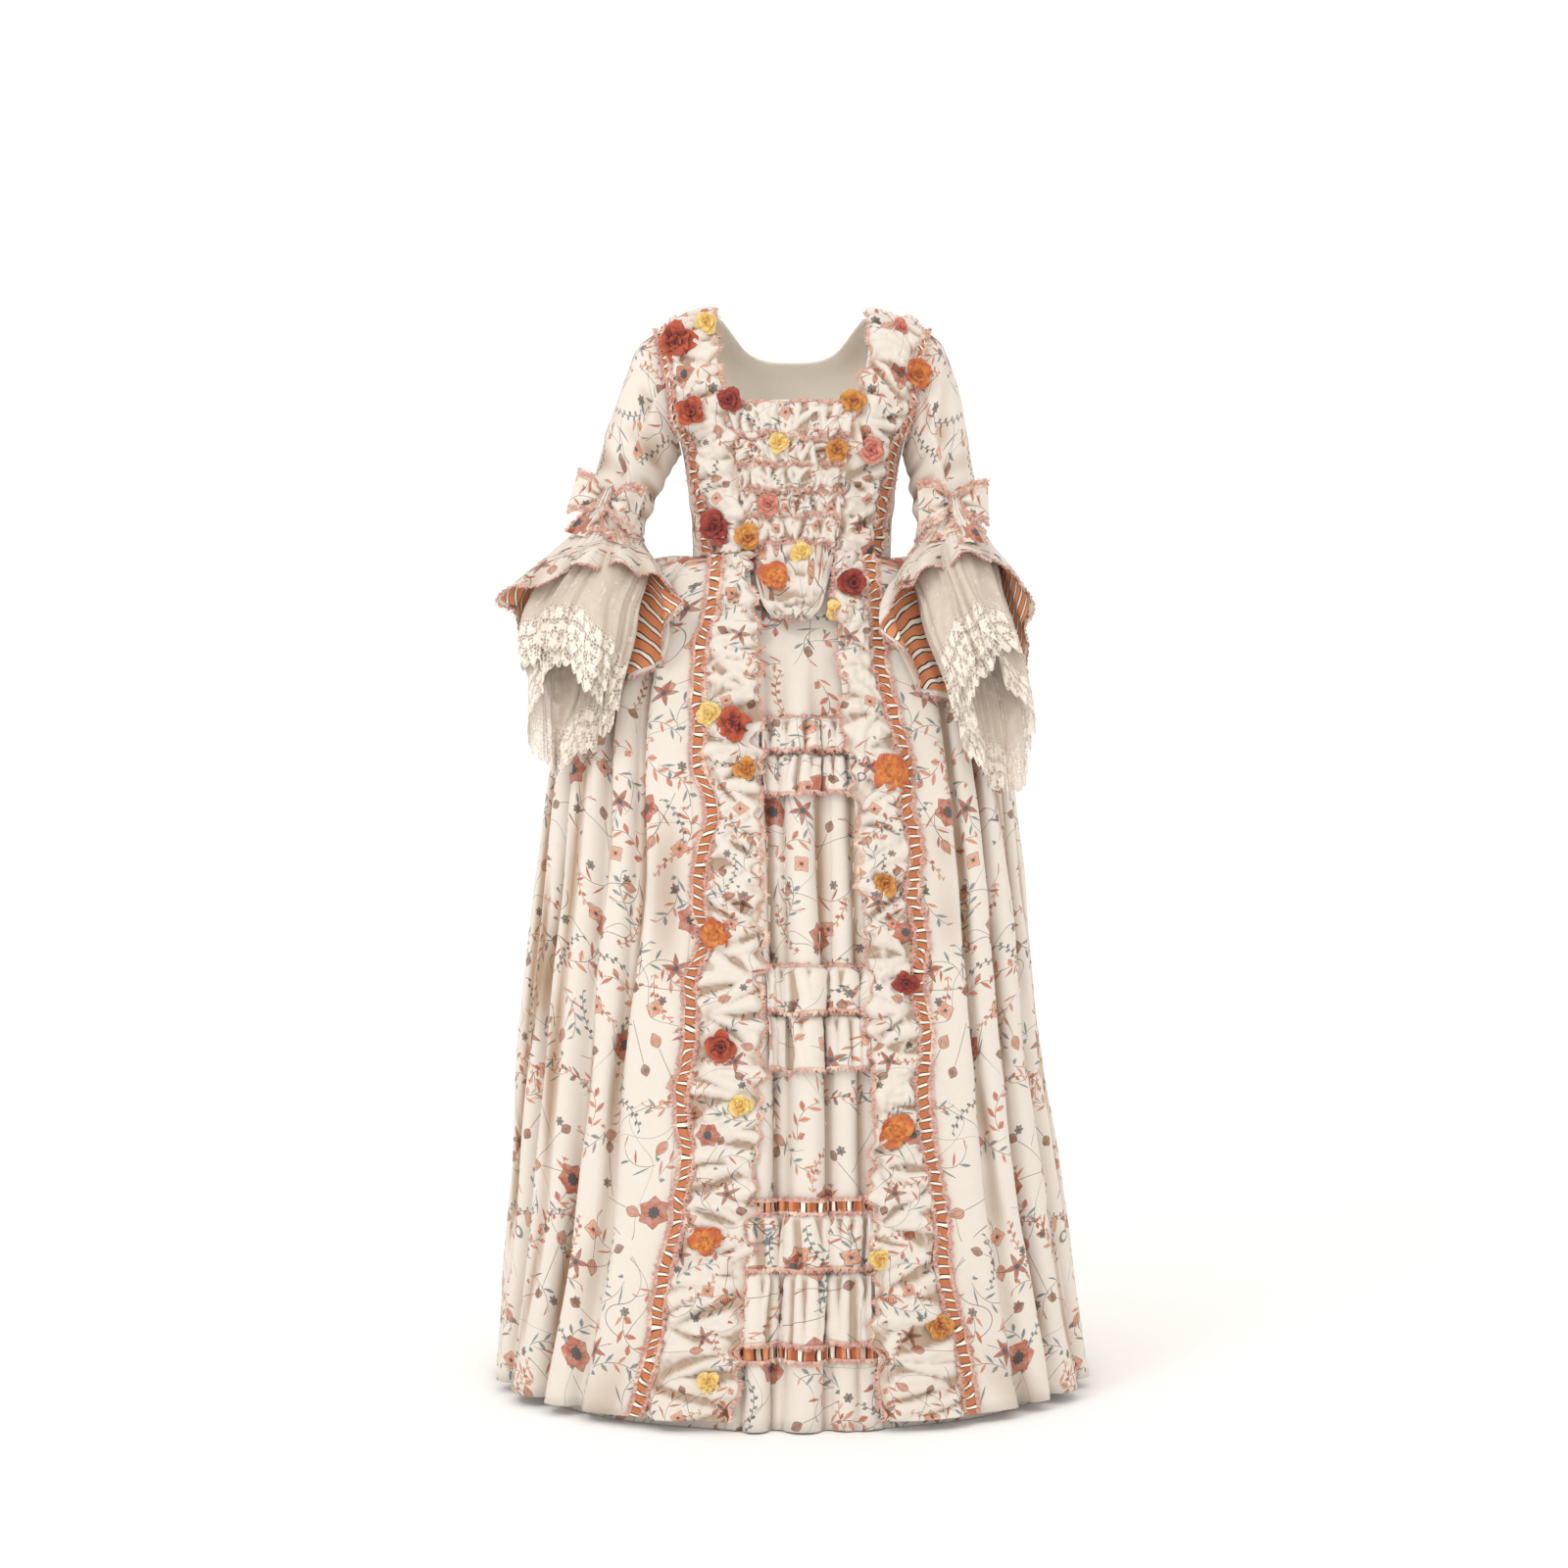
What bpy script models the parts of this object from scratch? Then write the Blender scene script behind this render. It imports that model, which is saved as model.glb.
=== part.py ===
# A sack-back gown and petticoat of printed cotton, held out hollow as it is worn.
# Metres, +Z up, the front faces -Y and the wearer's left is +X. Heights in the tables are measured up from
# the petticoat's hem. The empty that carries every piece lowers them, so that the origin lies midway
# between the shoulder straps. Grids of points run down in rows and from the front towards the side in
# columns. Each grid is the outer face of a wall of cloth.

import math
from collections import namedtuple

import bmesh
import bpy
import numpy as np

# Driving sizes
SHOULDER_HEIGHT = 1.395
WALL = 0.002
TRIM_WALL = 0.0015
SEAM = 0.0005
TRIM_SEAM = 0.0009
SIDES = {"left": 1, "right": -1}

# How square the ovals are: 1 is an ellipse, less is squarer
BODY_ROUNDNESS = 0.92
SKIRT_ROUNDNESS = 0.90

# The body of the gown from below the waist to the shoulder ridge
BodySection = namedtuple("BodySection", "height half_width front back")
BODY = (
    BodySection(0.980, 0.150, 0.136, 0.120),
    BodySection(1.020, 0.137, 0.124, 0.105),
    BodySection(1.069, 0.130, 0.100, 0.095),
    BodySection(1.124, 0.132, 0.100, 0.096),
    BodySection(1.174, 0.138, 0.109, 0.100),
    BodySection(1.222, 0.149, 0.119, 0.106),
    BodySection(1.262, 0.163, 0.118, 0.110),
    BodySection(1.300, 0.174, 0.104, 0.108),
    BodySection(1.340, 0.181, 0.077, 0.090),
    BodySection(1.366, 0.179, 0.050, 0.062),
    BodySection(1.382, 0.145, 0.030, 0.037),
    BodySection(1.395, 0.101, 0.004, 0.004),
)

# The gown's skirt, from the waist out over the hips to the hem: its reach to the wearer's left and right,
# to the front and to the back, and how far its front and back lie below its sides
SkirtSection = namedtuple("SkirtSection", "height left right front back sag")
SKIRT = (
    SkirtSection(1.0685, 0.130, 0.130, 0.1000, 0.095, 0.0000),
    SkirtSection(1.0710, 0.160, 0.163, 0.105, 0.112, 0.0120),
    SkirtSection(1.0630, 0.192, 0.199, 0.111, 0.130, 0.0170),
    SkirtSection(1.0440, 0.219, 0.230, 0.117, 0.148, 0.0160),
    SkirtSection(1.005, 0.238, 0.256, 0.127, 0.170, 0.0100),
    SkirtSection(0.940, 0.255, 0.277, 0.144, 0.200, 0.0030),
    SkirtSection(0.840, 0.272, 0.298, 0.168, 0.237, 0.0000),
    SkirtSection(0.660, 0.289, 0.320, 0.201, 0.293, 0.0000),
    SkirtSection(0.440, 0.312, 0.341, 0.240, 0.350, 0.0000),
    SkirtSection(0.220, 0.343, 0.354, 0.274, 0.399, 0.0000),
    SkirtSection(0.012, 0.372, 0.372, 0.300, 0.440, 0.0000),
)

# The petticoat inside it
PETTICOAT = (
    SkirtSection(1.078, 0.1258, 0.1258, 0.0962, 0.0905, 0.0000),
    SkirtSection(1.058, 0.1258, 0.1258, 0.0962, 0.0905, 0.0000),
    SkirtSection(1.036, 0.157, 0.160, 0.103, 0.104, 0.0060),
    SkirtSection(1.000, 0.194, 0.205, 0.111, 0.124, 0.0080),
    SkirtSection(0.940, 0.217, 0.236, 0.130, 0.156, 0.0030),
    SkirtSection(0.840, 0.235, 0.259, 0.153, 0.194, 0.0000),
    SkirtSection(0.660, 0.250, 0.281, 0.186, 0.250, 0.0000),
    SkirtSection(0.440, 0.274, 0.302, 0.224, 0.307, 0.0000),
    SkirtSection(0.220, 0.306, 0.318, 0.257, 0.356, 0.0000),
    SkirtSection(0.000, 0.338, 0.340, 0.285, 0.396, 0.0000),
)
SHOWN_FROM, SHOWN_TO = -0.095, 0.125

# Where the gown opens over the petticoat, and the outer edge of its ribbon, on each side of the middle
Opening = namedtuple("Opening", "height left_edge left_ribbon right_edge right_ribbon")
OPENINGS = (
    Opening(0.012, 0.106, 0.224, 0.072, 0.197),
    Opening(0.061, 0.105, 0.219, 0.069, 0.190),
    Opening(0.149, 0.096, 0.205, 0.060, 0.174),
    Opening(0.243, 0.0985, 0.183, 0.0505, 0.147),
    Opening(0.330, 0.098, 0.176, 0.044, 0.138),
    Opening(0.430, 0.0975, 0.170, 0.038, 0.137),
    Opening(0.555, 0.096, 0.168, 0.0385, 0.122),
    Opening(0.660, 0.086, 0.160, 0.040, 0.121),
    Opening(0.760, 0.0735, 0.146, 0.041, 0.124),
    Opening(0.840, 0.068, 0.141, 0.042, 0.127),
    Opening(0.960, 0.058, 0.120, 0.043, 0.119),
    Opening(1.030, 0.0575, 0.108, 0.0505, 0.110),
    Opening(1.0685, 0.0545, 0.1045, 0.0545, 0.1045),
)
RIBBON_WIDTH = 0.017

# The stomacher's half width from the tip of its tongue to the neckline
Stomacher = namedtuple("Stomacher", "height half_width")
STOMACHER = (
    Stomacher(0.984, 0.012),
    Stomacher(0.990, 0.026),
    Stomacher(1.005, 0.037),
    Stomacher(1.030, 0.044),
    Stomacher(1.069, 0.0534),
    Stomacher(1.124, 0.0611),
    Stomacher(1.174, 0.0661),
    Stomacher(1.222, 0.0731),
    Stomacher(1.263, 0.0827),
)
STOMACHER_BANDS = (1.259, 1.217, 1.182, 1.150, 1.118, 1.084, 0.986)

# A bodice front, row by row from the shoulder to the waist: its neck or opening edge, its outer edge, how
# far across the ribbon ends, and where it meets the armhole
Front = namedtuple("Front", "inner_x inner_height outer_x outer_height ribbon armhole_angle")
FRONT = (
    Front(0.1000, 1.3945, 0.1785, 1.3665, 0.91, 90),
    Front(0.1010, 1.3800, 0.1780, 1.3550, 0.91, 58),
    Front(0.1000, 1.3600, 0.1740, 1.3250, 0.90, 28),
    Front(0.0965, 1.3200, 0.1640, 1.2800, 0.88, -6),
    Front(0.0838, 1.2630, 0.1530, 1.2350, 0.84, -42),
    Front(0.0742, 1.2220, 0.1430, 1.2100, 0.74, -90),
    Front(0.0672, 1.1740, 0.1380, 1.1740, 0.66, None),
    Front(0.0622, 1.1240, 0.1320, 1.1240, 0.60, None),
    Front(0.0545, 1.0692, 0.1300, 1.0692, 0.57, None),
)
ARMHOLE_SEAM = 0.0018

# The back's neck edge, and its rows as shares of the way up from the underarm to it
BACK_NECK_HEIGHT = 1.345
STRAP_HEIGHT = 1.3925
BACK_ROWS = (1.0, 0.8, 0.55, 0.27, 0.0, -0.30, -0.65, -1.028)
SHOULDER_SEAM = 0.003

# The sack at the back above the skirt: its edge and its centre at each height
Sack = namedtuple("Sack", "height edge_x edge_y centre_y")
SACK = (
    Sack(1.345, 0.086, 0.0885, 0.0950),
    Sack(1.322, 0.096, 0.1010, 0.1130),
    Sack(1.295, 0.105, 0.1090, 0.1260),
    Sack(1.240, 0.117, 0.1180, 0.139),
    Sack(1.150, 0.130, 0.1320, 0.160),
    Sack(1.050, 0.138, 0.1570, 0.182),
)
SACK_EDGE_DEGREES = 150
SACK_FROM_ROW = 4
PLEAT_STEPS = ((0.0, 0), (0.07, 0), (0.10, 2), (0.42, 2), (0.45, 1), (0.68, 1), (0.71, 0), (1.0, 0))
PLEAT_RISE_TOP, PLEAT_RISE_HEM = 0.006, 0.018

# The folds round each side of the skirt, by their widths beside each other
FOLDS = (1.0, 0.75, 1.2, 0.8, 1.1, 0.7, 1.15, 0.9, 1.05)
FOLD_DEPTH_TOP, FOLD_DEPTH_HEM = 0.004, 0.019

# A sleeve: the outermost and innermost points of each ring, half its depth and how far forward it is
Ring = namedtuple("Ring", "outer_x outer_height inner_x inner_height half_depth forward")
SLEEVE = (
    Ring(0.1805, 1.3675, 0.1450, 1.2090, 0.058, 0.000),
    Ring(0.2000, 1.3500, 0.1470, 1.2050, 0.062, 0.001),
    Ring(0.2140, 1.3170, 0.1500, 1.1980, 0.062, 0.004),
    Ring(0.2260, 1.2750, 0.1550, 1.1850, 0.059, 0.010),
    Ring(0.2370, 1.2280, 0.1610, 1.1680, 0.055, 0.020),
    Ring(0.2460, 1.1820, 0.1670, 1.1440, 0.052, 0.034),
    Ring(0.2540, 1.1400, 0.1730, 1.1180, 0.050, 0.050),
    Ring(0.2610, 1.1040, 0.1790, 1.0920, 0.049, 0.066),
)
SLEEVE_COLUMNS = 14
ARM_LEAN = {"left": -0.016, "right": 0.016}

# A sleeve's frills by the angle round the arm, 0 the front, 90 the outer side and 180 the elbow: how far
# the cuff and its two tiers of lace fall below the end of the sleeve
Frill = namedtuple("Frill", "degrees cuff upper lower")
FRILLS = {
    "right": (
        Frill(0, 0.045, 0.150, 0.168),
        Frill(45, 0.085, 0.175, 0.215),
        Frill(90, 0.108, 0.200, 0.300),
        Frill(135, 0.190, 0.225, 0.315),
        Frill(180, 0.205, 0.235, 0.290),
        Frill(225, 0.190, 0.235, 0.260),
        Frill(270, 0.130, 0.225, 0.245),
        Frill(315, 0.055, 0.185, 0.205),
        Frill(360, 0.045, 0.150, 0.168),
    ),
    "left": (
        Frill(0, 0.034, 0.148, 0.165),
        Frill(45, 0.050, 0.170, 0.240),
        Frill(90, 0.170, 0.215, 0.320),
        Frill(135, 0.225, 0.245, 0.345),
        Frill(180, 0.215, 0.240, 0.320),
        Frill(225, 0.220, 0.245, 0.270),
        Frill(270, 0.160, 0.220, 0.240),
        Frill(315, 0.080, 0.175, 0.195),
        Frill(360, 0.034, 0.148, 0.165),
    ),
}

# The spread of the frills at each fall: their middle, their reach along the skirt's side and out from it,
# and how far they are turned to lie along it
Spread = namedtuple("Spread", "fall middle_x middle_y reach_x reach_y turn wave")
SPREADS = {
    "right": (
        Spread(0.00, 0.236, -0.066, 0.041, 0.049, 0, 0.00),
        Spread(0.05, 0.243, -0.098, 0.080, 0.055, 12, 0.05),
        Spread(0.10, 0.250, -0.126, 0.116, 0.060, 22, 0.06),
        Spread(0.20, 0.258, -0.144, 0.100, 0.060, 28, 0.06),
        Spread(0.35, 0.262, -0.160, 0.086, 0.056, 32, 0.06),
    ),
    "left": (
        Spread(0.00, 0.204, -0.066, 0.041, 0.049, 0, 0.00),
        Spread(0.05, 0.200, -0.104, 0.070, 0.056, 14, 0.04),
        Spread(0.10, 0.200, -0.140, 0.088, 0.058, 24, 0.05),
        Spread(0.20, 0.232, -0.158, 0.084, 0.058, 30, 0.06),
        Spread(0.35, 0.250, -0.176, 0.074, 0.054, 34, 0.06),
    ),
}
FRILL_COLUMNS = 24
FRILL_WAVES = 5
FRILL_PHASE = {"left": 0.4, "right": 1.2}
FRILL_CLEARANCE = 0.012
FRILL_SEAM = 0.0018
CUFF_DEPTH = (0.0, 0.0)
LINING_DEPTH = (0.0026, 0.0026)
UPPER_LACE_DEPTH = (0.0050, 0.0072)
LOWER_LACE_DEPTH = (0.0072, 0.0120)

# The trimmings
ROBING_PUFF = 0.010
ROBING_PITCH = 0.042
RIBBON_PLEAT = 0.005
RIBBON_PITCH = 0.030
BAND_SEAM = 0.00105
BAND_PUFF = 0.008
FLOUNCE_PUFF = 0.009
FLOUNCE_INSET = 0.005
Band = namedtuple("Band", "name top bottom puff finish")
PETTICOAT_BANDS = (
    Band("petticoat_flounce_1_upper", 0.853, 0.809, FLOUNCE_PUFF, "printed_cotton"),
    Band("petticoat_flounce_1_lower", 0.806, 0.753, FLOUNCE_PUFF, "printed_cotton"),
    Band("petticoat_flounce_2_upper", 0.547, 0.493, FLOUNCE_PUFF, "printed_cotton"),
    Band("petticoat_flounce_2_lower", 0.490, 0.425, FLOUNCE_PUFF, "printed_cotton"),
    Band("petticoat_heading", 0.269, 0.256, 0.004, "striped_cotton"),
    Band("petticoat_flounce_3_upper", 0.254, 0.190, FLOUNCE_PUFF, "printed_cotton"),
    Band("petticoat_flounce_3_lower", 0.188, 0.114, FLOUNCE_PUFF, "printed_cotton"),
    Band("petticoat_foot_ribbon", 0.112, 0.098, 0.004, "striped_cotton"),
)

# Cloth flowers, where the front shows them: across, up and the radius
Flower = namedtuple("Flower", "x height radius colour")
RUST, GOLD, PALE = (0.47, 0.10, 0.05), (0.62, 0.26, 0.05), (0.78, 0.58, 0.24)
RED, ROSE = (0.30, 0.03, 0.02), (0.66, 0.30, 0.22)
FLOWERS = (
    Flower(-0.147, 1.345, 0.024, RUST),
    Flower(-0.127, 1.250, 0.018, RUST),
    Flower(0.160, 1.303, 0.020, RUST),
    Flower(0.076, 1.262, 0.017, GOLD),
    Flower(-0.080, 1.262, 0.015, RED),
    Flower(-0.096, 1.104, 0.022, RED),
    Flower(0.100, 1.200, 0.017, ROSE),
    Flower(0.056, 1.199, 0.016, GOLD),
    Flower(0.077, 1.030, 0.019, RED),
    Flower(-0.022, 1.037, 0.018, RUST),
    Flower(0.056, 0.995, 0.015, PALE),
    Flower(-0.073, 0.850, 0.022, RED),
    Flower(0.122, 0.792, 0.022, GOLD),
    Flower(-0.095, 0.590, 0.018, RUST),
    Flower(-0.086, 0.456, 0.018, RUST),
    Flower(0.124, 0.355, 0.020, RUST),
    Flower(-0.106, 0.226, 0.019, RUST),
    Flower(0.176, 0.120, 0.018, GOLD),
)
FLOWER_PETALS = 5
FLOWER_HEIGHT = 0.42
FLOWER_SEAM = 0.0003
FLOWER_FOOT = 0.50
FLOWER_NOTCH = 0.74
# Above its foot, a flower's rings: the reach and the height of each, as shares of the whole
FLOWER_RINGS = ((1.0, 0.35), (0.86, 0.75), (0.35, 0.55))

# The bow at each elbow
Bow = namedtuple("Bow", "x height tilt")
BOWS = {"left": Bow(0.206, 1.134, 2), "right": Bow(0.238, 1.138, 17)}
BOW_REACH = 0.040
BOW_BEND = 0.013
BOW_STAND_OFF = 0.0074
BOW_SHEET_GAP = 0.0019
BOW_FRONT_BULGE = 0.009
BOW_BACK_BULGE = 0.003
BOW_PINCH = 0.006
BOW_SPREAD = 0.014
BOW_CLEARANCE = 0.0062
# Round the band of the loops, from one tip over the front to the other and back behind
BOW_SHARES = (-1, -0.85, -0.55, -0.25, 0, 0.25, 0.55, 0.85, 1, 0.8, 0.5, 0.2, 0, -0.2, -0.5, -0.8)

# The tie from the end of its first tail, round the pinch, to the end of its second. Its depth is from the
# middle of the loops; a tail with none lies on what is under it.
TieStep = namedtuple("TieStep", "across up depth half_width")
TIE = (
    TieStep(-0.030, -0.052, None, 0.011),
    TieStep(-0.020, -0.036, None, 0.010),
    TieStep(-0.010, -0.020, None, 0.008),
    TieStep(-0.003, -0.009, None, 0.005),
    TieStep(0.000, 0.003, 0.0050, 0.0035),
    TieStep(0.000, 0.0095, 0.0034, 0.0035),
    TieStep(0.000, 0.0112, -0.0010, 0.0035),
    TieStep(0.000, 0.0090, -0.0056, 0.0035),
    TieStep(0.001, 0.0000, -0.0068, 0.0042),
    TieStep(0.003, -0.0110, -0.0092, 0.005),
    TieStep(0.009, -0.0260, None, 0.009),
    TieStep(0.016, -0.0400, None, 0.011),
    TieStep(0.022, -0.0560, None, 0.012),
)
TIE_BEHIND = 4
TIE_PROBE = 0.003
TIE_BACK_GAP = 0.0022
TIE_FRONT_GAP = 0.0040
TIE_BACK_REACH = 0.0052
TIE_FRONT_REACH = -0.0085
TIE_FREE_FALL = 0.008


def column(table, name):
    return np.array([getattr(row, name) for row in table], float)


def smooth(keys, values, at):
    # A smooth curve through values at rising keys, read at any place
    keys, values = np.asarray(keys, float), np.asarray(values, float)
    at = np.clip(np.asarray(at, float), keys[0], keys[-1])
    slopes = np.gradient(values, keys)
    i = np.clip(np.searchsorted(keys, at) - 1, 0, len(keys) - 2)
    span = keys[i + 1] - keys[i]
    t = (at - keys[i]) / span
    start = (1 + 2 * t) * (1 - t) ** 2 * values[i] + t * (1 - t) ** 2 * span * slopes[i]
    end = t * t * (3 - 2 * t) * values[i + 1] + t * t * (t - 1) * span * slopes[i + 1]
    return start + end


def body_at(height):
    keys = column(BODY, "height")
    return tuple(smooth(keys, column(BODY, name), height) for name in ("half_width", "front", "back"))


def opening_at(word, height):
    keys = column(OPENINGS, "height")
    return tuple(smooth(keys, column(OPENINGS, word + part), height) for part in ("_edge", "_ribbon"))


def oval(angle, half_width, front, back, roundness):
    side, ahead = np.sin(angle), np.cos(angle)
    x = half_width * np.sign(side) * np.abs(side) ** roundness
    y = -np.where(ahead > 0, front, back) * np.sign(ahead) * np.abs(ahead) ** roundness
    return x, y


def angle_of(x, half_width, roundness):
    # The angle at which the oval's front half is x from the middle
    return np.arcsin(np.clip(np.abs(x) / half_width, 0, 1) ** (1 / roundness))


def points(x, y, z):
    return np.stack(np.broadcast_arrays(x, y, z), axis=-1).astype(float)


def normals(grid, around=False):
    # The outward directions of a grid whose rows run down and whose columns run from the front towards +X
    if around:
        wide = np.concatenate([grid[:, -1:], grid, grid[:, :1]], axis=1)
        across = np.gradient(wide, axis=1)[:, 1:-1]
    else:
        across = np.gradient(grid, axis=1)
    down = np.gradient(grid, axis=0)
    out = np.cross(down, across)
    return out / np.maximum(np.linalg.norm(out, axis=-1, keepdims=True), 1e-12)


def between(grid, rows, columns):
    # The point of a panel's own triangles at a row and a column that may lie between its points
    r = np.clip(np.floor(rows).astype(int), 0, grid.shape[0] - 2)
    c = np.clip(np.floor(columns).astype(int), 0, grid.shape[1] - 2)
    down, along = (rows - r)[..., None], (columns - c)[..., None]
    near, far = grid[r, c], grid[r + 1, c + 1]
    below = near + down * (grid[r + 1, c] - near) + along * (far - grid[r + 1, c])
    above = near + along * (grid[r, c + 1] - near) + down * (far - grid[r, c + 1])
    return np.where(down >= along, below, above)


def material(name, colour, roughness):
    made = bpy.data.materials.new(name)
    made.use_nodes = True
    shader = made.node_tree.nodes["Principled BSDF"]
    shader.inputs["Base Color"].default_value = (*colour, 1)
    shader.inputs["Roughness"].default_value = roughness
    shader.inputs["Metallic"].default_value = 0
    return made


def add_object(name, verts, faces, finish, root, side=1):
    mesh = bpy.data.meshes.new(name)
    mesh.from_pydata([(side * x, y, z) for x, y, z in verts], [], faces)
    work = bmesh.new()
    work.from_mesh(mesh)
    bmesh.ops.recalc_face_normals(work, faces=work.faces)
    work.to_mesh(mesh)
    work.free()
    mesh.materials.append(finish)
    mesh.shade_smooth()
    obj = bpy.data.objects.new(name, mesh)
    obj.parent = root
    bpy.context.scene.collection.objects.link(obj)
    return obj


def wall_between(outer, inner, around=False):
    # The vertices and triangles of the closed wall between two grids of the same size
    rows, columns = outer.shape[:2]
    verts = np.concatenate([outer.reshape(-1, 3), inner.reshape(-1, 3)])
    under = rows * columns
    faces = []

    def quad(a, b, c, d):
        faces.extend([(a, b, c), (a, c, d)])

    steps = columns if around else columns - 1
    for r in range(rows - 1):
        for c in range(steps):
            e = (c + 1) % columns
            corners = [r * columns + c, (r + 1) * columns + c, (r + 1) * columns + e, r * columns + e]
            quad(*corners)
            quad(*(under + i for i in corners))
    for c in range(steps):
        e = (c + 1) % columns
        for r in (0, rows - 1):
            quad(r * columns + c, r * columns + e, under + r * columns + e, under + r * columns + c)
    if not around:
        for r in range(rows - 1):
            for c in (0, columns - 1):
                top, low = r * columns + c, (r + 1) * columns + c
                quad(top, low, under + low, under + top)
    return verts, faces


def cloth(name, outer, finish, root, side=1, wall=WALL, around=False):
    inner = outer - normals(outer, around) * wall
    verts, faces = wall_between(outer, inner, around)
    return add_object(name, verts, faces, finish, root, side)


class Surfaces:
    # Points spread closely over everything that a flower or a bow may lie on, with their outward directions

    def __init__(self):
        self.places = []
        self.outs = []

    def add(self, grid, outs, side=1, around=False, step=0.003):
        if around:
            grid = np.concatenate([grid, grid[:, :1]], axis=1)
            outs = np.concatenate([outs, outs[:, :1]], axis=1)
        long = np.linalg.norm(np.diff(grid, axis=0), axis=-1).max()
        wide = np.linalg.norm(np.diff(grid, axis=1), axis=-1).max()
        rows = np.linspace(0, grid.shape[0] - 1, (grid.shape[0] - 1) * math.ceil(long / step) + 1)
        columns = np.linspace(0, grid.shape[1] - 1, (grid.shape[1] - 1) * math.ceil(wide / step) + 1)
        where = np.meshgrid(rows, columns, indexing="ij")
        turned = np.array([side, 1, 1])
        self.places.append(between(grid, *where).reshape(-1, 3) * turned)
        self.outs.append(between(outs, *where).reshape(-1, 3) * turned)

    def near(self, x, height, radius):
        places, outs = np.concatenate(self.places), np.concatenate(self.outs)
        close = (np.hypot(places[:, 0] - x, places[:, 2] - height) < radius) & (places[:, 1] < 0.02)
        return places[close], outs[close]

    def front(self, x, height, radius):
        # How far forward anything reaches within this distance of a place seen from the front
        places, _ = self.near(x, height, radius)
        return places[:, 1].min() if len(places) else None


def armhole_point(degrees, ahead):
    # A point on the armhole's oval, on its front half (1) or its back half (-1): 90 is the shoulder
    top = SLEEVE[0]
    angle = math.radians(degrees)
    x = (top.outer_x + top.inner_x) / 2 + (top.outer_x - top.inner_x) / 2 * math.sin(angle)
    z = (top.outer_height + top.inner_height) / 2 + (top.outer_height - top.inner_height) / 2 * math.sin(angle)
    y = -ahead * top.half_depth * math.cos(angle)
    return np.array([x - ARMHOLE_SEAM, y, z])


def front_grid():
    # Its columns follow the robing, then the ribbon, then the plain cloth to the side
    rows = []
    for row in FRONT:
        half_inner = body_at(row.inner_height)[0]
        half_outer = body_at(row.outer_height)[0]
        start = angle_of(row.inner_x, half_inner, BODY_ROUNDNESS)
        end = angle_of(row.outer_x, half_outer, BODY_ROUNDNESS)
        if row.armhole_angle is None:
            end = math.radians(90)
        strip = row.ribbon - RIBBON_WIDTH / (row.outer_x - row.inner_x + 0.02)
        across = np.array([0, strip / 3, strip * 2 / 3, strip, row.ribbon, (1 + row.ribbon) / 2, 1])
        angle = start + (end - start) * across
        height = row.inner_height + (row.outer_height - row.inner_height) * across
        half, front, back = body_at(height)
        x, y = oval(angle, half, front, back, BODY_ROUNDNESS)
        line = points(x, y, height)
        if row.armhole_angle is not None:
            seam = armhole_point(row.armhole_angle, 1)
            line = line + (seam - line[-1]) * (across**2)[:, None]
        rows.append(line)
    return np.array(rows)


def back_grid():
    # The fitted back inside the sack: its neck edge dips between the straps, and its sides follow the armholes
    rows = []
    strap, tip = FRONT[0].inner_x, SLEEVE[0].outer_x
    across = np.array([-1, -0.78, -0.56, -0.356, -0.18, 0, 0.18, 0.356, 0.56, 0.78, 1])
    spread = np.sin(np.abs(across) * math.pi / 2) ** BODY_ROUNDNESS
    top_x = tip * spread
    neck = BACK_NECK_HEIGHT + (STRAP_HEIGHT - BACK_NECK_HEIGHT) * np.minimum(top_x / strap, 1) ** 3
    fall = np.clip((top_x - strap) / (tip - strap), 0, 1)
    top = neck + (SLEEVE[0].outer_height - STRAP_HEIGHT) * fall
    underarm = SLEEVE[0].inner_height
    for share in BACK_ROWS:
        level = underarm + (BACK_NECK_HEIGHT - underarm) * share
        height = level + (top - BACK_NECK_HEIGHT) * max(share, 0) ** 1.3
        half, front, back = body_at(height)
        seam = None
        width = body_at(level)[0]
        if share >= 0:
            seam = armhole_point(-90 + 180 * share, -1)
            width = seam[0]
            height = height + (seam[2] - height[-1]) * np.abs(across) ** 4
            half, front, back = body_at(height)
        x = np.minimum(width * spread, half)
        x, y = oval(math.pi - angle_of(x, half, BODY_ROUNDNESS), half, front, back, BODY_ROUNDNESS)
        if seam is not None:
            y = y + (seam[1] - y[-1]) * np.abs(across) ** 4
        y = y + SHOULDER_SEAM * max(share, 0) + ARMHOLE_SEAM * across**4
        rows.append(points(-np.sign(across) * x, y, height))
    return np.array(rows)


def stomacher_grid():
    rows = []
    across = np.linspace(-1, 1, 7)
    for row in reversed(STOMACHER):
        half, front, back = body_at(row.height)
        x = row.half_width * across
        angle = angle_of(x, half, BODY_ROUNDNESS) * np.sign(x)
        x, y = oval(angle, half, front, back, BODY_ROUNDNESS)
        rows.append(points(x, y, row.height))
    return np.array(rows)


def fold_columns():
    # Each fold is a narrow valley and a broad ridge: their places across the folds and their heights
    starts = np.concatenate([[0], np.cumsum(FOLDS)])
    places, heights = [0.0], [0.2]
    for i, width in enumerate(FOLDS):
        depth = 0.65 + 0.35 * width
        for share, height in ((0.24, 0.55), (0.70, 0.75), (1.0, -1.0)):
            places.append((starts[i] + width * share) / starts[-1])
            heights.append(height * depth)
    heights[-1] = 0.0
    places, heights = np.array(places), np.array(heights)
    return places, heights * np.clip(0.45 + 1.6 * places, 0, 1)


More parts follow.
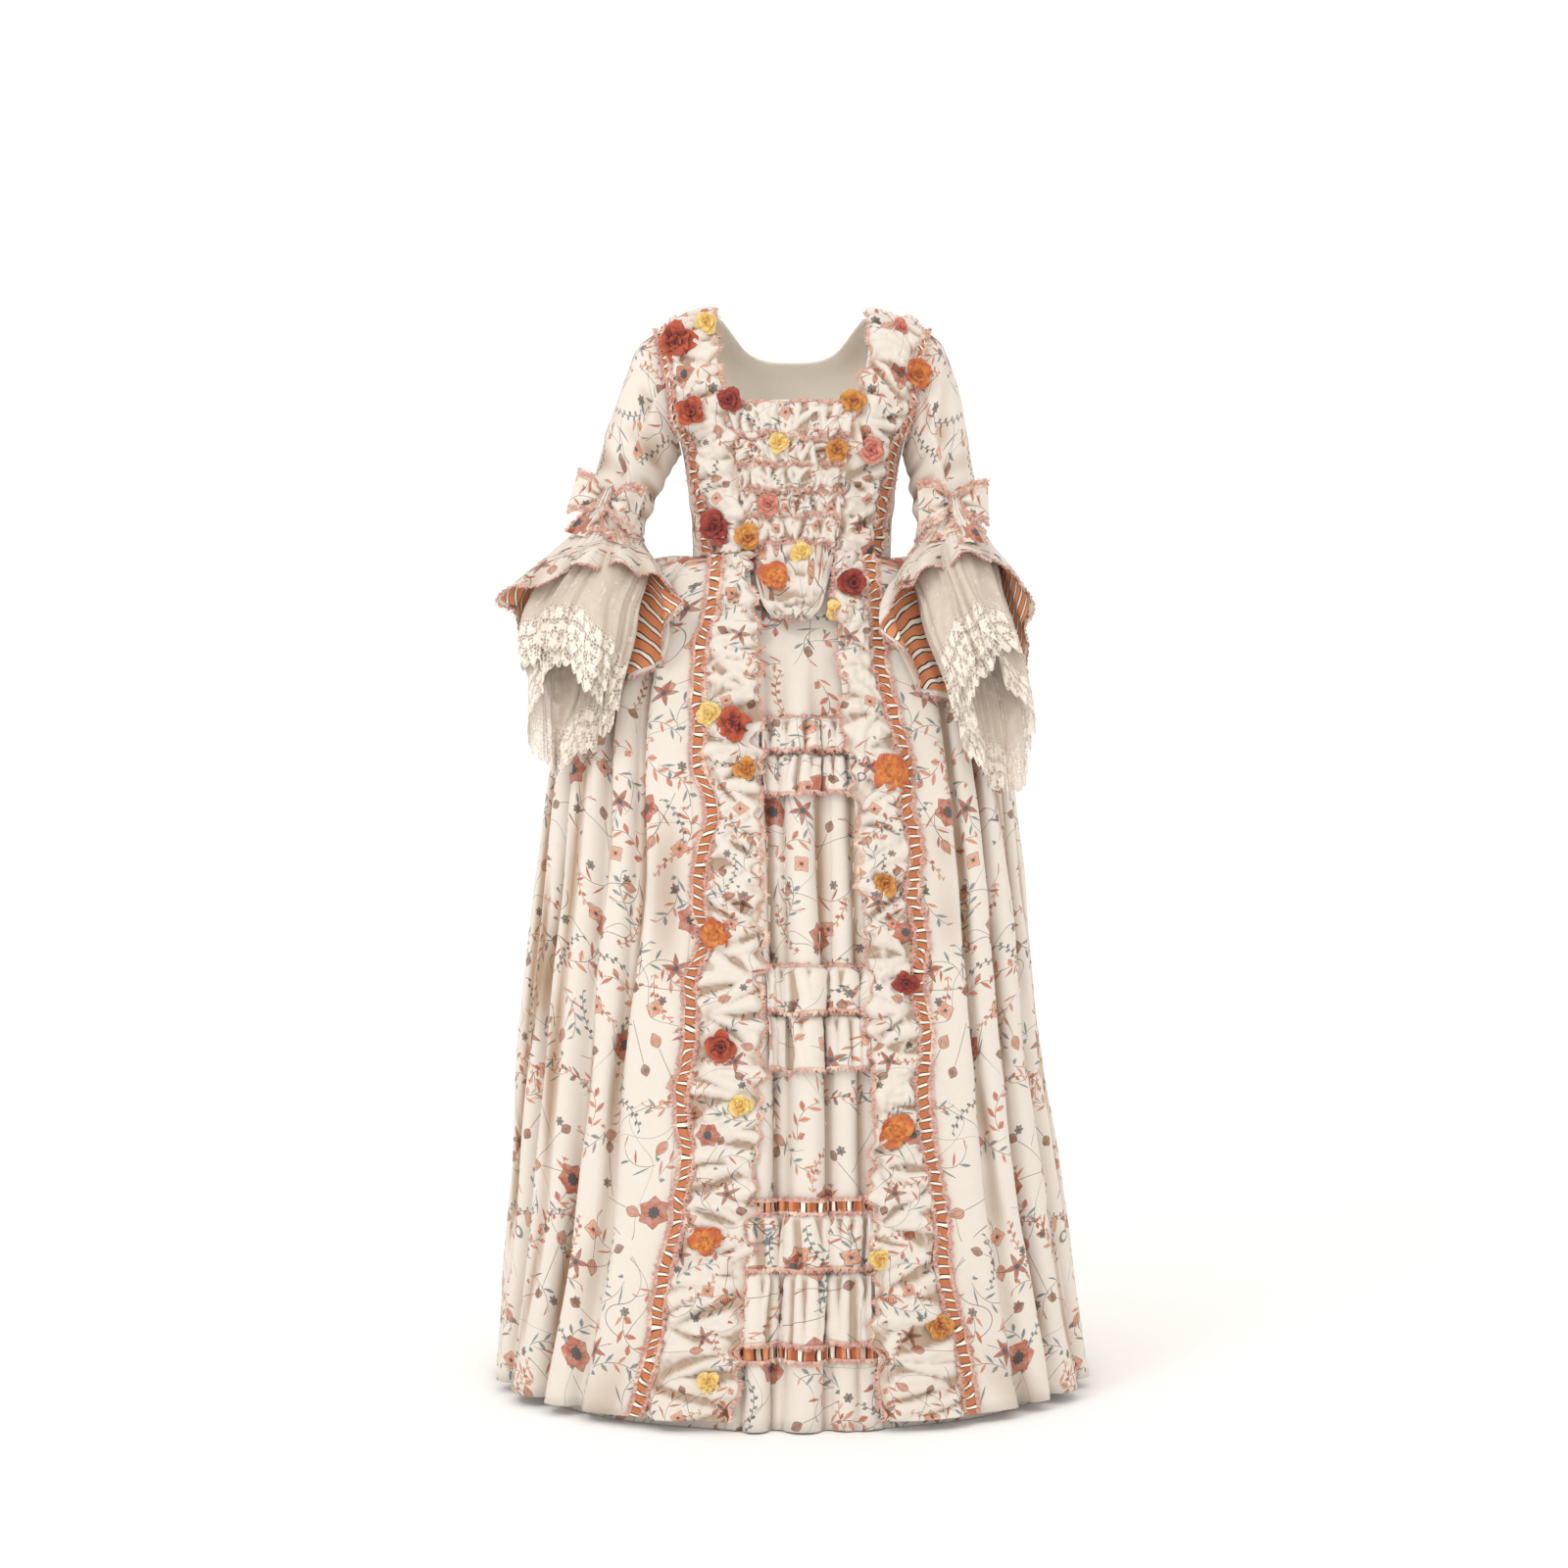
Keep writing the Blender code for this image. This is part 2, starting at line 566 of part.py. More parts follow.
def skirt_grid(word):
    # One side of the gown's skirt: the flat front under the trimming, then the folds round to the sack
    places, heights = fold_columns()
    back_edge = math.radians(SACK_EDGE_DEGREES)
    rows = []
    for section in SKIRT:
        half = getattr(section, word)
        level = min(section.height, OPENINGS[-1].height)
        edge, ribbon = opening_at(word, level)
        flat = np.append(np.linspace(edge, ribbon - RIBBON_WIDTH, 4), ribbon)
        flat_angles = angle_of(flat, half, SKIRT_ROUNDNESS)
        start = angle_of(ribbon + 0.004, half, SKIRT_ROUNDNESS)
        angles = np.concatenate([flat_angles, start + (back_edge - start) * places])
        x, y = oval(angles, half, section.front, section.back, SKIRT_ROUNDNESS)
        rows.append(points(x, y, section.height - section.sag * np.cos(angles) ** 2))
    grid = np.array(rows)
    depth = FOLD_DEPTH_TOP + (FOLD_DEPTH_HEM - FOLD_DEPTH_TOP) * np.linspace(0, 1, len(SKIRT)) ** 0.8
    depth[0] = 0
    relief = np.concatenate([np.zeros(5), heights])
    out = normals(grid)
    out[..., 2] *= 0.3
    return grid + out * (depth[:, None] * relief[None, :])[..., None]


def sack_grid(skirts):
    # The sack falls free from the back neck to the hem, in two stacked box pleats each side of its centre
    share = np.array([s for s, _ in PLEAT_STEPS])
    step = np.array([s for _, s in PLEAT_STEPS], float)
    share = np.concatenate([-share[:0:-1], share])
    step = np.concatenate([step[:0:-1], step])
    sections = [(s.height, s.edge_x, s.edge_x, s.edge_y, s.centre_y) for s in SACK]
    for i in range(SACK_FROM_ROW, len(SKIRT)):
        left, right = skirts["left"][i, -1], skirts["right"][i, -1]
        sections.append((left[2], left[0], right[0], left[1] + 0.001, SKIRT[i].back + 0.012))
    rows = []
    for height, left_x, right_x, edge_y, centre_y in sections:
        rise = PLEAT_RISE_TOP + (PLEAT_RISE_HEM - PLEAT_RISE_TOP) * (1 - height / SHOULDER_HEIGHT)
        x = -np.where(share > 0, right_x - TRIM_SEAM, left_x - TRIM_SEAM) * share
        y = edge_y + (centre_y - edge_y) * (1 - share**2) + rise * step
        rows.append(points(x, y, height))
    return np.array(rows)


def petticoat_grid():
    # Soft folds where the petticoat shows between the gown's fronts, and a plain ring behind
    shown = np.linspace(SHOWN_FROM, SHOWN_TO, 15)
    folds = np.array([0, -1, 0.4, 1, -0.2, -1, 0.2, 1, 0.5, -1, 0.3, 1, -0.6, -0.2, 0])
    hidden = np.linspace(0, 1, 16)[1:-1]
    rows = []
    for section in PETTICOAT:
        half = np.where(shown > 0, section.left, section.right)
        near = angle_of(shown, half, SKIRT_ROUNDNESS) * np.sign(shown)
        far = near[-1] + (2 * math.pi - near[-1] + near[0]) * hidden
        angles = np.concatenate([near, far])
        half = np.where(np.sin(angles) > 0, section.left, section.right)
        depth = 0.005 * min(1, max(0, (1.0 - section.height) / 0.25))
        x, y = oval(angles, half, section.front, section.back, SKIRT_ROUNDNESS)
        y[: len(shown)] -= folds * depth
        rows.append(points(x, y, section.height - section.sag * np.cos(angles) ** 2))
    return np.array(rows)


def sleeve_rings(word, angles):
    # Rings round the arm: angle 0 is the front and 90 degrees the outermost point
    rings = []
    for i, ring in enumerate(SLEEVE):
        lean = ARM_LEAN[word] * (i / (len(SLEEVE) - 1)) ** 1.5
        x = (ring.outer_x + ring.inner_x) / 2 + (ring.outer_x - ring.inner_x) / 2 * np.sin(angles) + lean
        z = (ring.outer_height + ring.inner_height) / 2
        z = z + (ring.outer_height - ring.inner_height) / 2 * np.sin(angles)
        rings.append(points(x, -ring.forward - ring.half_depth * np.cos(angles), z))
    return np.array(rings)


def push_off_skirt(place, word):
    # Moves points that would be inside the gown's skirt level with themselves, out past its folds
    x, y, z = place[..., 0], place[..., 1], place[..., 2]
    heights = column(SKIRT, "height")[1:]
    fold = FOLD_DEPTH_TOP + (FOLD_DEPTH_HEM - FOLD_DEPTH_TOP) * (1.07 - z) / 1.07
    clear = FRILL_CLEARANCE + np.clip(fold, 0, 1)
    half, front, back = (
        np.interp(-z, -heights, column(SKIRT, name)[1:]) + clear for name in (word, "front", "back")
    )
    power = 2 / SKIRT_ROUNDNESS
    reach = ((np.abs(x) / half) ** power + (np.abs(y) / np.where(y < 0, front, back)) ** power) ** (1 / power)
    fade = np.clip((heights[0] + FRILL_CLEARANCE - z) / 0.02, 0, 1)
    scale = np.where(reach < 1, 1 / np.maximum(reach, 0.2), 1)
    scale = 1 + (scale - 1) * fade
    return np.stack([x * scale, y * scale, z], axis=-1)


def frill_surface(word):
    # Lines down the frills: at the sleeve, in the cuff, at its edge and at the edge of each tier of lace
    angles = np.linspace(0, 2 * math.pi, FRILL_COLUMNS, endpoint=False)
    degrees = np.degrees(angles)
    table = FRILLS[word]
    cuff, upper, lower = (
        smooth(column(table, "degrees"), column(table, name), degrees) for name in ("cuff", "upper", "lower")
    )
    waves = np.cos(FRILL_WAVES * angles + FRILL_PHASE[word])
    waves = waves + 0.5 * np.cos(3 * angles + 2.1 * FRILL_PHASE[word])
    start = sleeve_rings(word, angles)[-1]
    spread = SPREADS[word]
    falls = column(spread, "fall")
    lines = []
    for fall in (np.zeros_like(cuff), 0.33 * cuff, cuff, upper, lower):
        middle_x, middle_y, reach_x, reach_y, turn, wave = (
            smooth(falls, column(spread, name), fall) for name in Spread._fields[1:]
        )
        along = reach_x * np.sin(angles) * (1 + wave * waves)
        out = reach_y * np.cos(angles) * (1 + wave * waves)
        turn = np.radians(turn)
        x = middle_x + along * np.cos(turn) + out * np.sin(turn)
        y = middle_y + along * np.sin(turn) - out * np.cos(turn)
        lines.append(points(x, y, start[:, 2] - FRILL_SEAM - fall))
    grid = push_off_skirt(np.array(lines), word)
    return grid, normals(grid, True)


def frill(name, surface, rows, depth, wall, finish, root, side):
    # One layer of the frills: its rows of the surface and its depth inside the cuff at its top and edge
    grid, outs = surface[0][:rows], surface[1][:rows]
    sink = np.linspace(depth[0], depth[1], rows)[:, None, None]
    outer = grid - outs * sink
    verts, faces = wall_between(outer, outer - outs * wall, True)
    add_object(name, verts, faces, finish, root, side)
    return outer


def rows_by_length(panel, at_column, start, end, pitch):
    # The panel's own rows from start to end, each stretch between them cut evenly at about the pitch
    marks = [start] + [r for r in range(math.ceil(start + 0.01), math.floor(end) + 1)]
    if marks[-1] < end - 0.01:
        marks.append(end)
    rows = [marks[0]]
    for a, b in zip(marks, marks[1:]):
        ends = between(panel, np.array([a, b], float), np.full(2, float(at_column)))
        pieces = max(1, round(np.linalg.norm(ends[1] - ends[0]) / pitch))
        rows.extend(a + (b - a) * (k + 1) / pieces for k in range(pieces))
    return np.array(rows)


def strip_on(panels, columns, pitch, surfaces, name, rise_of, finish, root, side):
    # A strip sewn down one or two panels in turn: rise_of gives its height off them at each of its points
    base, outs = [], []
    for panel, start, end in panels:
        rows = rows_by_length(panel, np.mean(columns), start, end, pitch)
        where = np.meshgrid(rows, np.array(columns, float), indexing="ij")
        base.append(between(panel, *where))
        outs.append(between(normals(panel), *where))
    base, outs = np.concatenate(base), np.concatenate(outs)
    outs /= np.linalg.norm(outs, axis=-1, keepdims=True)
    inner = base + outs * (TRIM_SEAM + rise_of(len(base)))[..., None]
    outer = inner + outs * TRIM_WALL
    verts, faces = wall_between(outer, inner)
    add_object(name, verts, faces, finish, root, side)
    surfaces.add(outer, outs, side)


def robing_rise(count):
    # A ruched strip lies flat along both edges and puffs to the one side and the other by turns
    rows = np.arange(count)
    swing = 0.78 + 0.22 * np.sin(rows * 1.9)
    first = np.where(rows % 2 == 0, 1, 0.35) * swing
    second = np.where(rows % 2 == 0, 0.35, 1) * swing[::-1]
    return ROBING_PUFF * np.stack([np.zeros(count), first, second, np.zeros(count)], axis=1)


def ribbon_rise(count):
    rise = np.where(np.arange(count) % 2 == 0, 0.0, RIBBON_PLEAT)
    return np.stack([rise, rise], axis=1)


def band_on(panel, rows, columns, puff, surfaces, name, finish, root):
    # A gathered band across a panel: flat along both edges and full between them, in waves
    count = len(columns)
    wave = np.where(np.arange(count) % 2 == 0, 0.35, 1.0)
    top, bottom = rows
    levels = np.array([top, top + (bottom - top) * 0.62, bottom])
    where = np.meshgrid(levels, columns, indexing="ij")
    outs = between(normals(panel), *where)
    outs /= np.linalg.norm(outs, axis=-1, keepdims=True)
    rise = np.stack([np.zeros(count), puff * wave, puff * 0.4 * wave])
    inner = between(panel, *where) + outs * (BAND_SEAM + rise)[..., None]
    outer = inner + outs * TRIM_WALL
    verts, faces = wall_between(outer, inner)
    add_object(name, verts, faces, finish, root)
    surfaces.add(outer, outs)


def flower(name, spec, surfaces, finish, root):
    # A shallow cup of petals seated on the highest point of what is under it
    places, outs = surfaces.near(spec.x, spec.height, spec.radius * 0.7)
    out = outs.mean(axis=0)
    out /= np.linalg.norm(out)
    centre = places[np.argmin(np.hypot(places[:, 0] - spec.x, places[:, 2] - spec.height))]
    places, _ = surfaces.near(spec.x, spec.height, spec.radius * 1.3)
    off = places - centre
    level = off @ out
    sideways = np.linalg.norm(off - level[:, None] * out, axis=1)
    seat = centre + out * (level[sideways < spec.radius * 0.62].max() + FLOWER_SEAM)
    brim = centre + out * (level[sideways < spec.radius * 1.05].max() + FLOWER_SEAM)
    lift = max(0.0, float((brim - seat) @ out))
    along = np.cross(np.array([0, 0, 1.0]), out)
    along /= np.linalg.norm(along)
    up = np.cross(out, along)
    sides = 2 * FLOWER_PETALS
    turn = 2 * math.pi * np.arange(sides) / sides
    tall = spec.radius * FLOWER_HEIGHT
    petal = np.where(np.arange(sides) % 2 == 0, 1.0, FLOWER_NOTCH)
    rings = [(FLOWER_FOOT * spec.radius * np.ones(sides), 0.0)]
    for i, (reach, height) in enumerate(FLOWER_RINGS):
        heart = i == len(FLOWER_RINGS) - 1
        rings.append((reach * spec.radius * (np.ones(sides) if heart else petal), lift + height * tall))
    verts = [seat]
    for reach, level in rings:
        for a, r in zip(turn, reach):
            verts.append(seat + along * (r * math.cos(a)) + up * (r * math.sin(a)) + out * level)
    verts.append(seat + out * (lift + tall))
    faces = []
    for k in range(sides):
        n = (k + 1) % sides
        faces.append((0, 1 + n, 1 + k))
        for ring in range(len(rings) - 1):
            a, b = 1 + ring * sides, 1 + (ring + 1) * sides
            faces.extend([(a + k, a + n, b + n), (a + k, b + n, b + k)])
        last = 1 + (len(rings) - 1) * sides
        faces.append((last + k, last + n, len(verts) - 1))
    add_object(name, verts, faces, finish, root)


def bow_loops(word, surfaces, finish, root):
    # A closed band pinched in the middle: its front sheet, then its back sheet
    spec = BOWS[word]
    tilt = math.radians(spec.tilt)
    side = SIDES[word]
    share = np.array(BOW_SHARES)
    tip = BOW_SHARES.index(1)
    back = np.arange(len(share)) > tip
    bulge = np.sin(math.pi * np.abs(share)) ** 1.6
    depth = np.where(back, BOW_SHEET_GAP + BOW_BACK_BULGE * bulge, -BOW_SHEET_GAP - BOW_FRONT_BULGE * bulge)
    depth[0] = depth[tip] = -0.002
    half_width = BOW_PINCH + BOW_SPREAD * np.sin(np.minimum(np.abs(share), 0.75) * math.pi / 1.5) ** 1.5
    y = surfaces.front(side * spec.x, spec.height, 0.003) - BOW_STAND_OFF
    rows = []
    for across in (1, 0, -1):
        along = BOW_REACH * share
        up = half_width * across
        x = spec.x + along * math.cos(tilt) - up * math.sin(tilt)
        z = spec.height + along * math.sin(tilt) + up * math.cos(tilt)
        seen = [surfaces.front(side * a, b, 0.005) for a, b in zip(x, z)]
        bend = y + BOW_BEND * share**2
        rest = np.array([b if s is None else min(b, s - BOW_CLEARANCE) for b, s in zip(bend, seen)])
        rows.append(points(x, rest + depth, z))
    cloth("bow_loops_" + word, np.array(rows), finish, root, side, TRIM_WALL, around=True)
    return y


def bow_tie(word, y, surfaces, finish, root):
    # The band that wraps the pinch and ends in two tails, the first behind and the second in front
    spec = BOWS[word]
    side = SIDES[word]
    tilt = math.radians(spec.tilt)
    rows = []
    for i, s in enumerate(TIE):
        x = spec.x + s.across * math.cos(tilt) - s.up * math.sin(tilt)
        z = spec.height + s.across * math.sin(tilt) + s.up * math.cos(tilt)
        place = y + (s.depth or 0)
        if s.depth is None:
            behind = i < TIE_BEHIND
            under_loops = behind and i >= TIE_BEHIND - 2
            seen = surfaces.front(side * x, z, TIE_PROBE + (0 if under_loops else s.half_width))
            place = y + TIE_FREE_FALL if seen is None else seen
            place -= TIE_BACK_GAP if behind else TIE_FRONT_GAP
            place = min(place, y + (TIE_BACK_REACH if behind else TIE_FRONT_REACH))
        edge = np.array([-1, 1]) * s.half_width
        rows.append(points(x + edge * math.cos(tilt), place, z + edge * math.sin(tilt)))
    strip = np.array(rows)
    verts, faces = wall_between(strip + normals(strip) * TRIM_WALL, strip)
    add_object("bow_tie_" + word, verts, faces, finish, root, side)


def main():
    for obj in list(bpy.data.objects):
        bpy.data.objects.remove(obj)
    root = bpy.data.objects.new("gown_hang", None)
    root.location = (0, 0, -SHOULDER_HEIGHT)
    bpy.context.scene.collection.objects.link(root)

    finishes = {
        "printed_cotton": material("printed_cotton", (0.80, 0.71, 0.58), 0.9),
        "striped_cotton": material("striped_cotton", (0.60, 0.24, 0.13), 0.85),
        "cream_lace": material("cream_lace", (0.78, 0.70, 0.56), 0.95),
    }
    printed, striped, lace = finishes.values()
    trimmed = Surfaces()

    front = front_grid()
    skirts = {word: skirt_grid(word) for word in SIDES}
    for word, side in SIDES.items():
        cloth("bodice_front_" + word, front, printed, root, side)
        cloth("skirt_" + word, skirts[word], printed, root, side)
    cloth("bodice_back", back_grid(), printed, root)
    cloth("sack_back", sack_grid(skirts), printed, root)
    stomacher = stomacher_grid()
    cloth("stomacher", stomacher, printed, root)
    petticoat = petticoat_grid()
    cloth("petticoat", petticoat, printed, root, around=True)

    for word, side in SIDES.items():
        panels = ((front, 0.06, len(FRONT) - 1.02), (skirts[word], 0.06, len(SKIRT) - 1.0))
        sewn = (ROBING_PITCH, trimmed, "robing_" + word, robing_rise, printed, root, side)
        strip_on(panels, (0, 1, 2, 2.97), *sewn)
        sewn = (RIBBON_PITCH, trimmed, "ribbon_" + word, ribbon_rise, striped, root, side)
        strip_on(panels, (3.06, 4), *sewn)

    heights = column(STOMACHER, "height")[::-1]
    for i, (top, bottom) in enumerate(zip(STOMACHER_BANDS, STOMACHER_BANDS[1:])):
        rows = np.interp([-top, -bottom - SEAM], -heights, np.arange(len(heights)))
        name = "stomacher_band_" + str(i + 1)
        band_on(stomacher, rows, np.linspace(0, 6, 13), BAND_PUFF, trimmed, name, printed, root)

    drops = column(PETTICOAT, "height")
    for band in PETTICOAT_BANDS:
        rows = np.interp([-band.top, -band.bottom], -drops, np.arange(len(drops)))
        ends = np.array([-opening_at("right", band.top)[0], opening_at("left", band.top)[0]])
        ends = ends + np.array([FLOUNCE_INSET, -FLOUNCE_INSET])
        columns = (ends - SHOWN_FROM) / (SHOWN_TO - SHOWN_FROM) * 14
        where = np.linspace(columns[0], columns[1], 21)
        band_on(petticoat, rows, where, band.puff, trimmed, band.name, finishes[band.finish], root)

    for word, side in SIDES.items():
        angles = np.linspace(0, 2 * math.pi, SLEEVE_COLUMNS, endpoint=False)
        sleeve = sleeve_rings(word, angles)
        cloth("sleeve_" + word, sleeve, printed, root, side, around=True)
        surface = frill_surface(word)
        cuff = frill("cuff_" + word, surface, 3, CUFF_DEPTH, WALL, printed, root, side)
        frill("cuff_lining_" + word, surface, 3, LINING_DEPTH, TRIM_WALL, striped, root, side)
        frill("lace_upper_" + word, surface, 4, UPPER_LACE_DEPTH, TRIM_WALL, lace, root, side)
        frill("lace_lower_" + word, surface, 5, LOWER_LACE_DEPTH, TRIM_WALL, lace, root, side)
        arm = Surfaces()
        arm.add(sleeve, normals(sleeve, True), side, around=True)
        arm.add(cuff, normals(cuff, True), side, around=True)
        y = bow_loops(word, arm, printed, root)
        bow_tie(word, y, arm, printed, root)

    for i, spec in enumerate(FLOWERS):
        name = "flower_" + str(i + 1)
        flower(name, spec, trimmed, material(name + "_silk", spec.colour, 0.7), root)


main()
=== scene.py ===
import math

import bpy
import numpy as np
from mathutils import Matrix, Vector
from mathutils.bvhtree import BVHTree


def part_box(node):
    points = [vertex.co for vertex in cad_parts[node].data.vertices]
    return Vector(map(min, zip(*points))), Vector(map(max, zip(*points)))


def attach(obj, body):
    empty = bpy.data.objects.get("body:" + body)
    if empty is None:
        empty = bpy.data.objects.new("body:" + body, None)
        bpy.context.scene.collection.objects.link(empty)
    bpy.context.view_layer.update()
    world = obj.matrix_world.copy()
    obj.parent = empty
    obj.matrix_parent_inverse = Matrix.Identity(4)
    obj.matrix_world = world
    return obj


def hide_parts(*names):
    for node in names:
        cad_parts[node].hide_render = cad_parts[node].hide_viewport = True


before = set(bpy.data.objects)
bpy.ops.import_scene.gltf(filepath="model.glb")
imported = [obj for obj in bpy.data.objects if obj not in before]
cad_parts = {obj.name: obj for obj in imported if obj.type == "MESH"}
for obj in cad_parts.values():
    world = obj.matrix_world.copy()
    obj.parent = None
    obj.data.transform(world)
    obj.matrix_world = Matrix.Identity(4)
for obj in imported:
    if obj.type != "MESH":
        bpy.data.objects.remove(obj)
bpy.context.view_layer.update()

# heights below are measured up from the petticoat's hem, and the origin is at the shoulders
shoulderHeight = -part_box("petticoat")[0].z
sides = {"left": 1, "right": -1}  # the wearer's left is +X
piecesMade = {}


# curves and grids of points


def smoothCurve(keys, values, at):
    # a smooth curve through the values at rising keys
    keys, values = np.asarray(keys, float), np.asarray(values, float)
    at = np.clip(np.asarray(at, float), keys[0], keys[-1])
    slopes = np.gradient(values, keys)
    i = np.clip(np.searchsorted(keys, at) - 1, 0, len(keys) - 2)
    span = keys[i + 1] - keys[i]
    t = (at - keys[i]) / span
    start = (1 + 2 * t) * (1 - t) ** 2 * values[i] + t * (1 - t) ** 2 * span * slopes[i]
    end = t * t * (3 - 2 * t) * values[i + 1] + t * t * (t - 1) * span * slopes[i + 1]
    return start + end


def smoothStep(low, high, x):
    t = np.clip((x - low) / (high - low), 0, 1)
    return t * t * (3 - 2 * t)


def stack(x, y, z):
    return np.stack(np.broadcast_arrays(x, y, z), axis=-1).astype(float)


def unit(vectors):
    return vectors / np.maximum(np.linalg.norm(vectors, axis=-1, keepdims=True), 1e-12)


def closed(grid):
    # a grid that goes round, with its first column again at its end
    return np.concatenate([grid, grid[:, :1]], axis=1)


def oval(angle, halfWidth, front, back, roundness):
    side, ahead = np.sin(angle), np.cos(angle)
    x = halfWidth * np.sign(side) * np.abs(side) ** roundness
    y = -np.where(ahead > 0, front, back) * np.sign(ahead) * np.abs(ahead) ** roundness
    return x, y


def angleOf(x, halfWidth, roundness):
    return np.arcsin(np.clip(np.abs(x) / halfWidth, 0, 1) ** (1 / roundness))


def refineAxis(grid, times, around):
    # puts more lines into a grid, on smooth curves through the ones it has
    count = len(grid)
    if around:
        at = np.arange(count * times) / times
        i = np.floor(at).astype(int)
        before, start, end, after = (grid[(i + k) % count] for k in (-1, 0, 1, 2))
    else:
        at = np.linspace(0, count - 1, (count - 1) * times + 1)
        i = np.minimum(np.floor(at).astype(int), count - 2)
        before, start, end, after = (grid[np.clip(i + k, 0, count - 1)] for k in (-1, 0, 1, 2))
    t = (at - i)[:, None, None]
    rise, fall = (end - before) / 2, (after - start) / 2
    near = (1 + 2 * t) * (1 - t) ** 2 * start + t * (1 - t) ** 2 * rise
    return near + t * t * (3 - 2 * t) * end + t * t * (t - 1) * fall


def refine(grid, downTimes, acrossTimes, around=False):
    grid = refineAxis(grid, downTimes, False)
    return refineAxis(grid.transpose(1, 0, 2), acrossTimes, around).transpose(1, 0, 2)


def normalsOf(grid, around=False):
    # outward, for rows that run down and columns that run from the front towards +X
    if around:
        wide = np.concatenate([grid[:, -1:], grid, grid[:, :1]], axis=1)
        across = np.gradient(wide, axis=1)[:, 1:-1]
    else:
        across = np.gradient(grid, axis=1)
    return unit(np.cross(np.gradient(grid, axis=0), across))


def lifted(grid, height, around=False):
    return grid + normalsOf(grid, around) * height[..., None]


def onGrid(grid, rows, columns):
    # points of a grid at rows and columns that may lie between its lines
    r = np.clip(np.floor(rows).astype(int), 0, grid.shape[0] - 2)
    c = np.clip(np.floor(columns).astype(int), 0, grid.shape[1] - 2)
    down, along = (rows - r)[..., None], (columns - c)[..., None]
    top = grid[r, c] * (1 - along) + grid[r, c + 1] * along
    low = grid[r + 1, c] * (1 - along) + grid[r + 1, c + 1] * along
    return top * (1 - down) + low * down


def runLength(line):
    steps = np.linalg.norm(np.diff(line, axis=0), axis=-1)
    return np.concatenate([np.zeros((1,) + steps.shape[1:]), np.cumsum(steps, axis=0)])


def ripple(u, v, size, seed, waves=7):
    # soft uneven ripples about as long as size, the same ones each time
    picks = np.random.default_rng(seed)
    total = 0
    for _ in range(waves):
        turn, phase = picks.uniform(0, 2 * math.pi, 2)
        length = size * picks.uniform(0.65, 1.6)
        total = total + np.sin((u * math.cos(turn) + v * math.sin(turn)) * 2 * math.pi / length + phase)
    return total / math.sqrt(waves)


# cloth as thin closed shells with a UV map in metres

clothPlan = {
    "wall": 0.0009,
    # the second UV map has the outer face on one side and the inner face on the other
    "bakeOuter": (0.98, 0.74),
    "bakeInner": (0.98, 0.22),
    "bakeInnerStart": 0.76,
    "bakeMargin": 0.01,
    "leastArea": 0.301,  # of the flat width times the flat length
}


def clothUv(grid, around=False):
    # across and down the cloth, each measured along its threads, also where the rows run slanting down it
    wide = closed(grid) if around else grid
    lengthwise = unit(np.gradient(wide, axis=0))
    steps = wide[:, 1:] - wide[:, :-1]
    slide = (steps * lengthwise[:, :-1]).sum(axis=-1)
    onward = np.sqrt(np.maximum((steps**2).sum(axis=-1) - slide**2, 1e-12))
    across = np.concatenate([np.zeros((len(wide), 1)), np.cumsum(onward, axis=1)], axis=1)
    middle = across.shape[1] // 2
    across = across - across[:, middle:middle + 1]
    top = np.concatenate([[0.0], np.cumsum(slide[0])])
    if around:
        top = top - top[-1] * np.linspace(0, 1, len(top))
    return np.stack([across, -(runLength(wide) + top[None, :])], axis=-1)


def wallFaces(rows, columns, around):
    # the faces of a wall on a grid, with the row and column of each corner: outer, inner and edges in turn
    under = rows * columns
    steps = columns if around else columns - 1
    r, c = (index.ravel() for index in np.meshgrid(np.arange(rows - 1), np.arange(steps), indexing="ij"))
    e = (c + 1) % columns
    front = np.stack([r * columns + c, (r + 1) * columns + c, (r + 1) * columns + e, r * columns + e], axis=1)
    place = np.stack([r, c, r + 1, c, r + 1, c + 1, r, c + 1], axis=1).reshape(-1, 4, 2)
    faces, places = [front, front[:, ::-1] + under], [place, place[:, ::-1]]

    def addEdge(a, b, spot, turn):
        faces.append(np.stack([a, b, b + under, a + under], axis=1)[:, ::turn])
        spot = np.stack(spot, axis=1).reshape(-1, 2, 2)
        places.append(np.concatenate([spot, spot[:, ::-1]], axis=1)[:, ::turn])

    c = np.arange(steps)
    e = (c + 1) % columns
    for line, turn in ((0, 1), (rows - 1, -1)):
        addEdge(line * columns + c, line * columns + e, [c * 0 + line, c, c * 0 + line, c + 1], turn)
    r = np.arange(rows - 1)
    for line, turn in () if around else ((0, 1), (columns - 1, -1)):
        addEdge((r + 1) * columns + line, r * columns + line, [r + 1, r * 0 + line, r, r * 0 + line], turn)
    isInner = np.concatenate([np.full(len(part), i == 1) for i, part in enumerate(faces)])
    return np.concatenate(faces), np.concatenate(places), isInner


